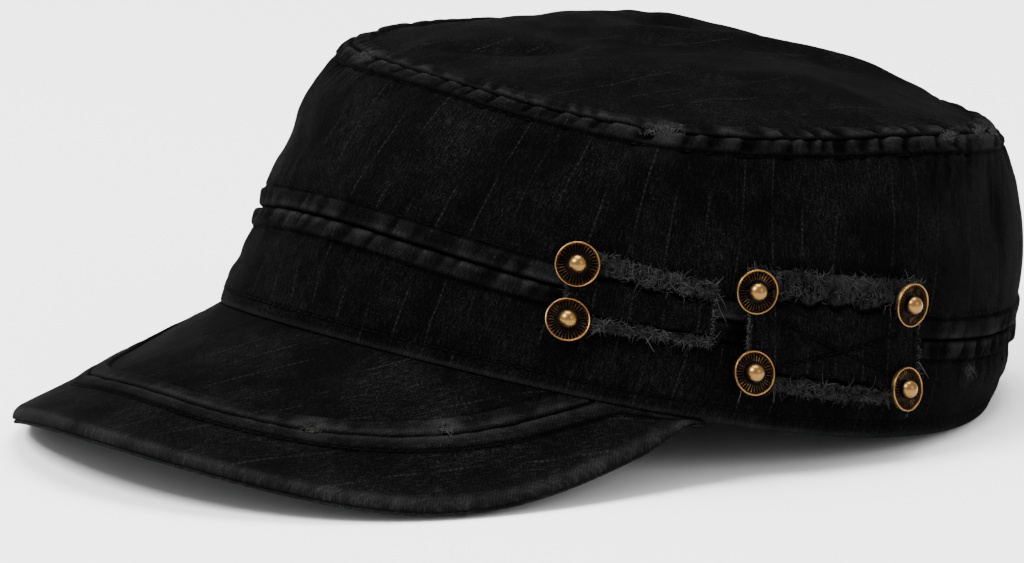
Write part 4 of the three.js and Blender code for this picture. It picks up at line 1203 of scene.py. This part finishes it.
def fibres(origins, directions, normals, lengths, curl, rng, steps=5):
    """Paths of loose fibres that leave origins along directions and curl at random."""
    count = len(origins)
    t = np.linspace(0, 1, steps)[None, :, None]
    bend = rng.normal(0, curl, (count, 3))
    side = unit(np.cross(directions, normals))
    way = directions[:, None] * t + side[:, None] * (bend[:, 0, None, None] * t**2)
    arc = 0.35 * np.sin(np.pi * t) * np.abs(bend[:, 2, None, None])
    way = way + normals[:, None] * (bend[:, 1, None, None] * 0.5 * t**2 + arc)
    return origins[:, None] + way * lengths[:, None, None]


def raw_edge_fibres(cover, thick, per_mm, seed):
    """Fibres of a cover's rolled upper and lower edges and its thin raw sides."""
    rng = np.random.default_rng(seed)
    paths, tones = [], []
    for upper in (False, True):
        count = int(cover.wide * per_mm * 0.7)
        along = rng.uniform(-0.4, cover.wide + 0.3, count)
        inside = rng.beta(1.3, 1.4, count) * 3.8
        up = inside / cover.tall
        up = 1 - up if upper else up
        height = thick + 0.3 + rng.uniform(-0.3, 0.3, count)
        origin, ahead, raised, normal = cover.steps(along, up, height)
        combed = rng.random(count) < 0.8
        aside = rng.choice([-1, 1], count) * rng.normal(1.4, 0.55, count)
        turn = np.where(combed, aside, rng.normal(0, 0.6, count))
        way = raised * np.cos(turn)[:, None] * (1 if upper else -1) + ahead * np.sin(turn)[:, None]
        way = unit(way + normal * rng.uniform(-0.25, 0.25, count)[:, None])
        length = np.minimum(rng.gamma(3.0, 0.33, count) + 0.4, 2.4)
        paths.append(fibres(origin, way, normal, length, 0.55, rng))
        clump = lumps(along / 1.6 + 30, inside / 1.2 + 9 * upper, seed)
        tones.append(np.clip(rng.uniform(0, 0.5, count) + 0.6 * clump, 0, 1))
    for front in (True, False):
        count = int(cover.tall * per_mm * 0.14)
        up = rng.uniform(0.02, 0.98, count)
        along = rng.uniform(-0.1, 0.7, count) if front else cover.wide + rng.uniform(-0.7, 0.1, count)
        height = thick + rng.uniform(-0.5, 0.15, count)
        origin, ahead, raised, normal = cover.steps(along, up, height)
        way = ahead * (-1 if front else 1) + raised * rng.normal(0, 0.8, count)[:, None]
        way = unit(way + normal * rng.uniform(0, 0.4, count)[:, None])
        paths.append(fibres(origin, way, normal, rng.uniform(0.5, 1.5, count), 0.8, rng))
        tones.append(rng.uniform(0, 1, count))
    return np.concatenate(paths), np.concatenate(tones)


# Long loose threads of the tab and patch: place, way out in degrees (0 is backwards, 90 up) and length
LOOSE_THREADS = (
    # cover, along, up, way, length
    ("tab", 1.00, 0.93, -50, 5.0),
    ("tab", 1.00, 0.88, -75, 6.5),
    ("tab", 0.97, 0.97, 35, 3.5),
    ("tab", 0.56, 0.03, -80, 5.0),
    ("tab", 0.60, 0.05, -110, 3.5),
    ("tab", 0.24, 0.02, -100, 2.5),
    ("patch", 0.03, 0.97, 120, 3.0),
    ("patch", -0.02, 0.03, -105, 4.5),
    ("patch", 0.14, 0.02, -85, 3.2),
    ("patch", 0.92, 0.03, -60, 4.0),
    ("patch", 0.96, 0.05, -95, 5.0),
    ("patch", 0.99, 0.45, -70, 4.5),
    ("patch", 0.97, 0.95, 60, 3.0),
)


def loose_threads(covers, thick):
    rng = np.random.default_rng(91)
    paths = []
    for which, along, up, way, length in LOOSE_THREADS:
        cover = covers[which]
        at, height = np.array([along * cover.wide]), np.array([thick + 0.3])
        origin, ahead, raised, normal = cover.steps(at, np.array([up]), height)
        turn = math.radians(way)
        way_out = unit(ahead * math.cos(turn) + raised * math.sin(turn) + normal * 0.25)
        paths.append(fibres(origin, way_out, normal, np.array([length]), 0.35, rng, steps=9))
    return np.concatenate(paths)


def spot_fibres(crown, peak):
    """Short fibres round the rubbed-through places of the crown's seams and the peak's holes."""
    rng = np.random.default_rng(17)
    paths, tones = [], []
    places = []
    for degrees, level, reach in WORN_SPOTS:
        angle = math.radians(degrees)
        places.append((crown.out(angle, level, np.array(0.4)), crown.normal(angle, min(level, 1.98)), reach))
    for direction, outside, reach in PEAK_HOLES:
        at = np.array([math.radians(direction)])
        middle = peak.top(at, peak.seam(at) + outside)[0] + [0, 0, 0.2]
        places.append((middle, np.array([0.1, -0.3, 0.95]), reach * 1.1))
    for middle, normal, reach in places:
        count = int(30 * reach)
        side = unit(np.cross(normal, [0.0, 0.0, 1.0])) if abs(normal[2]) < 0.9 else np.array([1.0, 0, 0])
        over = np.cross(side, normal)
        spread = rng.normal(0, 0.3 * reach, (count, 2)) * [1.3, 0.5]
        origin = middle + spread[:, :1] * side + spread[:, 1:] * over
        turn = rng.uniform(0, 2 * np.pi, count)[:, None]
        normals = np.broadcast_to(normal, origin.shape)
        way = unit(side * np.cos(turn) + over * np.sin(turn) + normals * rng.uniform(0.05, 0.6, (count, 1)))
        paths.append(fibres(origin, way, normals, rng.uniform(0.4, 1.4, count), 0.8, rng))
        tones.append(rng.uniform(0.2, 1, count))
    return np.concatenate(paths), np.concatenate(tones)


def along_line(at, lengths, values):
    """Vectors of a line at given lengths along it."""
    return np.stack([np.interp(at, lengths, values[:, k]) for k in range(3)], -1)


def stitches(name, lines, step, radius, material, slot):
    """Short closed stitches along lines of (places, normals), as one piece."""
    rings = ((-0.5, 0.25), (-0.36, 0.85), (0.0, 1.0), (0.36, 0.85), (0.5, 0.25))
    corners = 6
    points, starts = [], 0
    for places, normals in lines:
        lengths = np.append(0, np.cumsum(np.linalg.norm(np.diff(places, axis=0), axis=1)))
        middles = np.arange(step / 2, lengths[-1], step)
        at = along_line(middles, lengths, places)
        ahead = unit(along_line(middles + 0.3, lengths, places) - at + 1e-9)
        normal = unit(along_line(middles, lengths, normals))
        side = unit(np.cross(ahead, normal))
        normal = np.cross(side, ahead)
        rows = []
        for along, share in rings:
            centre = at + ahead * (along * step * 0.82) - normal * (radius * 1.6 * abs(along))
            for k in range(corners):
                turn = 2 * np.pi * k / corners
                rows.append(centre + share * radius * (side * math.cos(turn) + normal * math.sin(turn)))
        points.append(np.stack(rows, 1))
        starts += len(middles)
    points = np.concatenate(points)
    size = len(rings) * corners
    base = []
    for ring in range(len(rings) - 1):
        for k in range(corners):
            a, b = ring * corners + k, ring * corners + (k + 1) % corners
            base.append([a, a + corners, b + corners, b])
    start = np.arange(starts)[:, None] * size
    faces = (start[:, None] + np.array(base)[None]).reshape(-1, 4).tolist()
    faces += (start + np.arange(corners)[None]).tolist()
    faces += (start + (size - 1 - np.arange(corners))[None]).tolist()
    piece = add_piece(name, points.reshape(-1, 3), faces, material, slot)
    if sum_volume(piece) < 0:
        piece.data.flip_normals()
    tones = np.random.default_rng(5).uniform(0, 0.6, starts)
    give(piece, "tone", np.repeat(tones, size))
    return piece


def sum_volume(piece):
    bm = bmesh.new()
    bm.from_mesh(piece.data)
    volume = bm.calc_volume(signed=True)
    bm.free()
    return volume


def wall_line(crown, level, offset, out):
    """A line round the wall at a distance in millimetres above a level, with its normals."""
    angles = np.linspace(0, 2 * np.pi, 721)
    levels = level + offset / crown.span(angles, np.full(angles.shape, min(max(level, 0.03), 1.97)))
    return crown.out(angles, levels, np.full(angles.shape, out)), crown.normal(angles, levels)


# Rivets. The ribs' height and the grip of the model, from its seat to its burr, are in metres.

RIVET_SIDES, RIB_HEIGHT, MODEL_GRIP = 68, 0.0004, 0.004


def rivet_places():
    """Angle and level of each rivet's middle, from the corners of the tab and the patch."""
    places = []
    for row, angle in ((FRONT_TAB, "from_angle"), (REAR_PATCH, "from_angle"), (REAR_PATCH, "to_angle")):
        places.append((row[angle], row["high"]))
        places.append((row[angle] + row["slant"] * (row["high"] - row["low"]), row["low"]))
    return places


def select(piece, mode, test):
    """Selects those faces or points of a piece in edit mode for which a test holds."""
    bpy.ops.mesh.select_mode(type=mode)
    bm = bmesh.from_edit_mesh(piece.data)
    for element in (*bm.verts, *bm.edges, *bm.faces):
        element.select = False
    for element in bm.faces if mode == "FACE" else bm.verts:
        element.select = test(element)
    bm.select_flush_mode()
    bmesh.update_edit_mesh(piece.data)


def model_rivet(trim, colours):
    """One rivet along Z with its seat on the origin: ribbed dish, raised rim, dome, shank and burr."""
    radius, rim, dish = trim.rivet_radius, trim.rivet_rim, trim.rivet_dish
    clear_selection()
    seat = (0, 0, rim / 2)
    bpy.ops.mesh.primitive_cylinder_add(vertices=RIVET_SIDES, radius=radius, depth=rim, location=seat)
    rivet = bpy.context.object
    bpy.ops.object.transform_apply(location=True, rotation=False, scale=False)
    bpy.ops.object.mode_set(mode="EDIT")
    select(rivet, "FACE", lambda face: face.normal.z > 0.9)
    bpy.ops.mesh.inset(thickness=radius * 0.075)
    bpy.ops.mesh.inset(thickness=radius * 0.03)
    bpy.ops.transform.translate(value=(0, 0, dish * 0.35 - rim))
    for step in (0.05, 0.17, 0.13):
        bpy.ops.mesh.inset(thickness=radius * step)
    bpy.ops.transform.translate(value=(0, 0, dish * 0.2))
    inner, outer = radius * 0.48, radius * 0.865

    def rib(vert):
        place = vert.co
        across = math.hypot(place.x, place.y)
        turn = round(math.atan2(place.y, place.x) / (2 * math.pi / RIVET_SIDES))
        return place.z > rim * 0.1 and inner < across < outer and turn % 2 == 0

    select(rivet, "VERT", rib)
    bpy.ops.transform.translate(value=(0, 0, RIB_HEIGHT))
    bpy.ops.mesh.select_mode(type="EDGE")
    bm = bmesh.from_edit_mesh(rivet.data)
    for edge in bm.edges:
        flat = abs(edge.verts[0].co.z - edge.verts[1].co.z) < 1e-6
        across = min(math.hypot(vert.co.x, vert.co.y) for vert in edge.verts)
        edge.select = flat and edge.verts[0].co.z > rim * 0.95 and across > radius * 0.8
    bmesh.update_edit_mesh(rivet.data)
    bpy.ops.mesh.bevel(offset=0.00022, segments=3)
    bpy.ops.object.mode_set(mode="OBJECT")
    parts = [rivet]
    ball = (0, 0, trim.dome_height - trim.dome_radius)
    bpy.ops.mesh.primitive_uv_sphere_add(segments=40, ring_count=24, radius=trim.dome_radius, location=ball)
    parts.append(bpy.context.object)
    bpy.ops.object.mode_set(mode="EDIT")
    bpy.ops.mesh.select_all(action="SELECT")
    low = (0, 0, dish * 0.25)
    bpy.ops.mesh.bisect(plane_co=low, plane_no=(0, 0, 1), use_fill=True, clear_inner=True)
    bpy.ops.object.mode_set(mode="OBJECT")
    shank = trim.shank_radius, 0.0001, -MODEL_GRIP
    burr = trim.burr_radius, -MODEL_GRIP, -MODEL_GRIP - trim.burr_thick
    for wide, top, bottom in (shank, burr):
        middle = (0, 0, (top + bottom) / 2)
        bpy.ops.mesh.primitive_cylinder_add(vertices=32, radius=wide, depth=top - bottom, location=middle)
        parts.append(bpy.context.object)
        bpy.ops.object.mode_set(mode="EDIT")
        bpy.ops.mesh.bevel(offset=0.00015, segments=2)
        bpy.ops.object.mode_set(mode="OBJECT")
    bpy.ops.object.select_all(action="DESELECT")
    for part in parts:
        part.select_set(True)
    bpy.context.view_layer.objects.active = rivet
    bpy.ops.object.join()
    bpy.ops.object.transform_apply(location=True, rotation=True, scale=True)
    bpy.ops.object.shade_smooth_by_angle(angle=math.radians(38))
    rivet.data.materials.clear()
    rivet.data.materials.append(brass_finish("ribbed_brass", colours))
    across = np.array([math.hypot(vert.co.x, vert.co.y) for vert in rivet.data.vertices]) / radius
    high = np.array([vert.co.z for vert in rivet.data.vertices])
    ribbed = (across > 0.47) & (across < 0.85)
    rubbed_and_highlight = np.where(ribbed, 0.42 * (high > 0.00045), ease(dish * 0.8, dish * 2.6, high) * 0.95)
    rubbed_and_highlight = np.where(across > 0.86, 0.85, rubbed_and_highlight)
    give(rivet, "wear_and_highlight", rubbed_and_highlight)
    return rivet


def set_rivet(model, crown, number, angle_deg, level, trim):
    """A copy of the rivet on its place of the wall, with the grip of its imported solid."""
    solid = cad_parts[f"rivet_{number}"]
    angle = math.radians(angle_deg)
    origin = (crown.wall(angle, level) - FOOTPRINT_MIDDLE) * MM
    normal = crown.normal(angle, level)
    heights = [(np.array(vert.co) - origin) @ normal for vert in solid.data.vertices]
    seat, depth = max(heights) - trim.dome_height, min(heights)
    rivet = bpy.data.objects.new(f"rivet_{number}_brass", model.data.copy())
    bpy.context.scene.collection.objects.link(rivet)
    for vert in rivet.data.vertices:
        if vert.co.z < -0.0038:
            vert.co.z += depth - seat + MODEL_GRIP + trim.burr_thick
    turn = Vector((0, 0, 1)).rotation_difference(Vector(normal)).to_matrix().to_4x4()
    spin = Matrix.Rotation(number * 1.3, 4, "Z")
    rivet.data.transform(Matrix.Translation(Vector(origin + normal * seat)) @ turn @ spin)
    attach(rivet, "root")
    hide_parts(f"rivet_{number}")


# Operators, one for each piece or group of like pieces


def makers():
    scene = bpy.context.scene
    crown = Crown(scene.cap_crown)
    return crown, scene.cap_trim, scene.cap_colours


# Lightness and wash of the denim in each slot
DENIMS = {"crown_denim": (1.0, 1.0), "peak_denim": (1.15, 1.15), "trim_denim": (1.0, 1.3)}


def dressed(slot, solid):
    """The denim of a slot, the slot and the solid that a piece stands for."""
    name = f"washed_{slot}"
    made = bpy.data.materials.get(name)
    return made or denim_finish(name, bpy.context.scene.cap_colours, *DENIMS[slot]), slot, [solid]


def thread_named(name, base, pale):
    return bpy.data.materials.get(name) or thread_finish(name, base, pale)


def fray_yarn():
    colours = bpy.context.scene.cap_colours
    return thread_named("fray_yarn", [c * 0.07 for c in colours.fray], colours.fray)


def sewing_thread():
    colours = bpy.context.scene.cap_colours
    return thread_named("sewing_thread", colours.thread, [c * 3.0 for c in colours.thread])


class CAP_OT_crown_side(bpy.types.Operator):
    """The crown's side cloth, from the band seam to the top seam"""

    bl_idname = "cap.crown_side"
    bl_label = "Crown side"

    def execute(self, context):
        crown, _, _ = makers()
        dress = dressed("crown_denim", "crown_side")
        piece = wall_cloth(crown, "crown_side_cloth", BAND_SEAM, TOP_SEAM, crown.wall_thick, 46, 11, dress)
        return {"FINISHED"}


class CAP_OT_crown_band(bpy.types.Operator):
    """The doubled band, from the hem to the band seam"""

    bl_idname = "cap.crown_band"
    bl_label = "Crown band"

    def execute(self, context):
        crown, _, _ = makers()
        dress = dressed("crown_denim", "crown_band")
        piece = wall_cloth(crown, "crown_band_cloth", RIM, BAND_SEAM, crown.band_thick, 26, 31, dress)
        return {"FINISHED"}


class CAP_OT_crown_top(bpy.types.Operator):
    """The puffed and folded top panel"""

    bl_idname = "cap.crown_top"
    bl_label = "Crown top"

    def execute(self, context):
        crown, _, _ = makers()
        piece = top_cloth(crown, "crown_top_cloth", dressed("crown_denim", "crown_top"))
        return {"FINISHED"}


class CAP_OT_peak(bpy.types.Operator):
    """The peak: its board in the lower cloth, and the upper cloth's panel and border"""

    bl_idname = "cap.peak"
    bl_label = "Peak"

    def execute(self, context):
        crown, _, _ = makers()
        peak = Peak(context.scene.cap_peak, crown)
        peak_base_cloth(peak, "peak_base_cloth", dressed("peak_denim", "peak_base"))
        panel = peak_panel_cloth(peak, "peak_panel_cloth", dressed("peak_denim", "peak_panel"))
        border = peak_border_cloth(peak, "peak_border_cloth", dressed("peak_denim", "peak_border"))
        return {"FINISHED"}


class CAP_OT_trim(bpy.types.Operator):
    """The frayed tab and patch on the wearer's left, with their loose threads"""

    bl_idname = "cap.trim"
    bl_label = "Tab and patch"

    def execute(self, context):
        crown, trim, _ = makers()
        thick = trim.patch_thick / MM
        covers = {
            "tab": Cover(crown, FRONT_TAB, TAB_MARGINS, TAB_LENGTH),
            "patch": Cover(crown, REAR_PATCH, PATCH_MARGINS),
        }
        names = {"tab": "front_tab", "patch": "rear_patch"}
        for which, cover in covers.items():
            node = names[which]
            dress = dressed("trim_denim", node)
            piece = cover_cloth(cover, thick, f"{node}_cloth", which == "patch", 60 + len(which), dress)
            paths, tones = raw_edge_fibres(cover, thick, trim.fray_per_mm, 7 + len(which))
            fray = strands(f"{node}_fray", paths, FRAY_RADIUS, tones, fray_yarn(), "trim_denim")
        long_paths = loose_threads(covers, thick)
        tones = np.linspace(0.4, 1, len(long_paths))
        strands("loose_threads", long_paths, LOOSE_RADIUS, tones, fray_yarn(), "trim_denim")
        return {"FINISHED"}


class CAP_OT_worn_places(bpy.types.Operator):
    """Short fibres where the seams of the crown and the peak are rubbed through"""

    bl_idname = "cap.worn_places"
    bl_label = "Worn places"

    def execute(self, context):
        crown, _, _ = makers()
        peak = Peak(context.scene.cap_peak, crown)
        paths, tones = spot_fibres(crown, peak)
        strands("worn_seam_fibres", paths, WORN_RADIUS, tones, fray_yarn(), "crown_denim")
        return {"FINISHED"}


class CAP_OT_stitching(bpy.types.Operator):
    """The lines of stitches beside the seams, over the hem and across the patch"""

    bl_idname = "cap.stitching"
    bl_label = "Stitching"

    def execute(self, context):
        crown, trim, _ = makers()
        peak = Peak(context.scene.cap_peak, crown)
        step, radius, strip = trim.stitch_step / MM, STITCH_RADIUS, crown.strip
        angles = np.linspace(0, 2 * np.pi, 721)
        reach = np.linalg.norm(crown.top(angles, 0.97) - crown.top(angles, 1.0), axis=-1) / 0.03
        shares = 1 - (strip + SEAM_GAP / 2) / reach
        top_normals = crown.top_normal(angles, shares)
        top_line = crown.top(angles, shares) + top_normals * LIFT, top_normals
        lines = [top_line, wall_line(crown, TOP_SEAM, -strip - SEAM_GAP, LIFT)]
        lines += [wall_line(crown, BAND_SEAM, way * (strip + SEAM_GAP), LIFT) for way in (-1, 1)]
        stitches("crown_stitches", lines, step, radius, sewing_thread(), "crown_denim")
        hem = [wall_line(crown, RIM, HEM_LINE, 0.0)]
        stitches("hem_stitches", hem, step, radius, sewing_thread(), "crown_denim")
        peak_lines = []
        for outside, depth in ((-strip - SEAM_GAP / 2, 0.1), (strip * 0.86 + SEAM_GAP / 2, 0.1)):
            directions = np.linspace(-PEAK_ENDS, PEAK_ENDS, 500)
            seam, rim, edge = peak.seam(directions), peak.rim(directions), peak.edge(directions)
            at = seam + outside * np.where(outside > 0, np.clip((edge - seam) / 18, 0.02, 1), 1)
            clear = (at > rim + 0.8) & (at < edge - 1.5)
            places = peak.top(directions, at)[clear] + [0, 0, depth]
            ahead = unit(np.gradient(places, axis=0))
            outward = np.stack([np.sin(directions), -np.cos(directions), 0 * directions], -1)[clear]
            normals = np.cross(ahead, outward)
            normals = normals * np.sign(normals[:, 2:])
            peak_lines.append((places, unit(normals)))
        stitches("peak_stitches", peak_lines, step, radius, sewing_thread(), "peak_denim")
        patch = Cover(crown, REAR_PATCH, PATCH_MARGINS)
        cross_lines = []
        for line in crossed_lines(patch):
            share = np.linspace(0, 2, 80)
            along, low = (np.interp(share, [0, 1, 2], line[:, k]) for k in range(2))
            height = np.full(share.shape, trim.patch_thick / MM + LIFT)
            places = patch.surface(along, low / patch.tall, height)
            angle, level = patch.place(along, low / patch.tall)
            cross_lines.append((places, crown.normal(angle, level)))
        stitches("patch_stitches", cross_lines, step, radius * 0.9, sewing_thread(), "trim_denim")
        return {"FINISHED"}


class CAP_OT_rivets(bpy.types.Operator):
    """The six domed brass rivets, with their shanks and burrs inside"""

    bl_idname = "cap.rivets"
    bl_label = "Rivets"

    def execute(self, context):
        crown, trim, colours = makers()
        model = model_rivet(trim, colours)
        for number, (angle, level) in enumerate(rivet_places(), 1):
            set_rivet(model, crown, number, angle, level, trim)
        bpy.data.objects.remove(model)
        return {"FINISHED"}


CAMERA_TARGET = (-0.0177321, 0.0074212, 0.0295)
CAMERA_RIGHT = (0.6347, 0.7725, 0.0186)
CAMERA_BACK = (0.7538, -0.6245, 0.2049)
CAMERA_DISTANCE = 1.6
CAMERA_LENS = 227.1


class CAP_OT_stage(bpy.types.Operator):
    """A wide pale floor, soft studio lights and the camera"""

    bl_idname = "cap.stage"
    bl_label = "Stage"

    def execute(self, context):
        scene = context.scene
        clear_selection()
        right = Vector(CAMERA_RIGHT).normalized()
        back = (Vector(CAMERA_BACK) - right * right.dot(Vector(CAMERA_BACK))).normalized()
        bpy.ops.mesh.primitive_plane_add(size=16, location=(0, 0, 0))
        floor = context.object
        floor.name = "floor"
        paint = Finish("studio_floor")
        paint.set(Base_Color=list(scene.cap_colours.floor), Roughness=0.9)
        paint.set(Specular_IOR_Level=0.1)
        floor.data.materials.append(paint.material)

        world = scene.world or bpy.data.worlds.new("studio")
        scene.world = world
        world.use_nodes = True
        world.node_tree.nodes["Background"].inputs["Color"].default_value = (1, 1, 1, 1)
        world.node_tree.nodes["Background"].inputs["Strength"].default_value = 1.3
        up = back.cross(right)
        lamps = (
            ("key", -right * 1.6 + back * 1.0 + Vector((0, 0, 1.9)), 1.1, 165),
            ("top", -back * 0.5 + Vector((0, 0, 2.4)), 1.4, 105),
            ("fill", right * 2.0 + back * 1.6 + Vector((0, 0, 1.0)), 1.2, 18),
        )
        for name, place, size, power in lamps:
            light = bpy.data.lights.new(name, "AREA")
            light.size, light.energy = size, power
            lamp = bpy.data.objects.new(name, light)
            lamp.location = place
            lamp.rotation_euler = (Vector((0, 0, 0.03)) - place).to_track_quat("-Z", "Y").to_euler()
            scene.collection.objects.link(lamp)

        camera = bpy.data.objects.new("camera", bpy.data.cameras.new("camera"))
        camera.data.lens, camera.data.sensor_width = CAMERA_LENS, 36
        camera.data.clip_start, camera.data.clip_end = 0.05, 60
        turn = Matrix((right, up, back)).transposed().to_4x4()
        camera.matrix_world = Matrix.Translation(Vector(CAMERA_TARGET) + back * CAMERA_DISTANCE) @ turn
        scene.collection.objects.link(camera)
        scene.camera = camera
        return {"FINISHED"}


OPERATORS = (
    CAP_OT_stage,
    CAP_OT_crown_band,
    CAP_OT_crown_side,
    CAP_OT_crown_top,
    CAP_OT_peak,
    CAP_OT_trim,
    CAP_OT_worn_places,
    CAP_OT_stitching,
    CAP_OT_rivets,
)


class CAP_PT_build(bpy.types.Panel):
    """The cap's pieces, in the order in which they are sewn"""

    bl_idname = "CAP_PT_build"
    bl_label = "Cap"
    bl_space_type = "VIEW_3D"
    bl_region_type = "UI"
    bl_category = "Cap"

    def draw(self, context):
        for operator in OPERATORS:
            self.layout.operator(operator.bl_idname)
        for group in (getattr(context.scene, name) for name in GROUPS):
            box = self.layout.box()
            for name in group.bl_rna.properties.keys():
                if name not in ("rna_type", "name"):
                    box.prop(group, name)


GROUPS = {
    "cap_crown": CapCrownSizes,
    "cap_peak": CapPeakSizes,
    "cap_trim": CapTrimSizes,
    "cap_colours": CapColours,
}


def register():
    for group in (*GROUPS.values(), *OPERATORS, CAP_PT_build):
        bpy.utils.register_class(group)
    for name, group in GROUPS.items():
        setattr(bpy.types.Scene, name, bpy.props.PointerProperty(type=group))


def unregister():
    for name in GROUPS:
        delattr(bpy.types.Scene, name)
    for group in (CAP_PT_build, *reversed(OPERATORS), *GROUPS.values()):
        bpy.utils.unregister_class(group)


def main():
    register()
    for operator in OPERATORS:
        _, name = operator.bl_idname.split(".")
        getattr(bpy.ops.cap, name)()


if __name__ == "__main__":
    main()
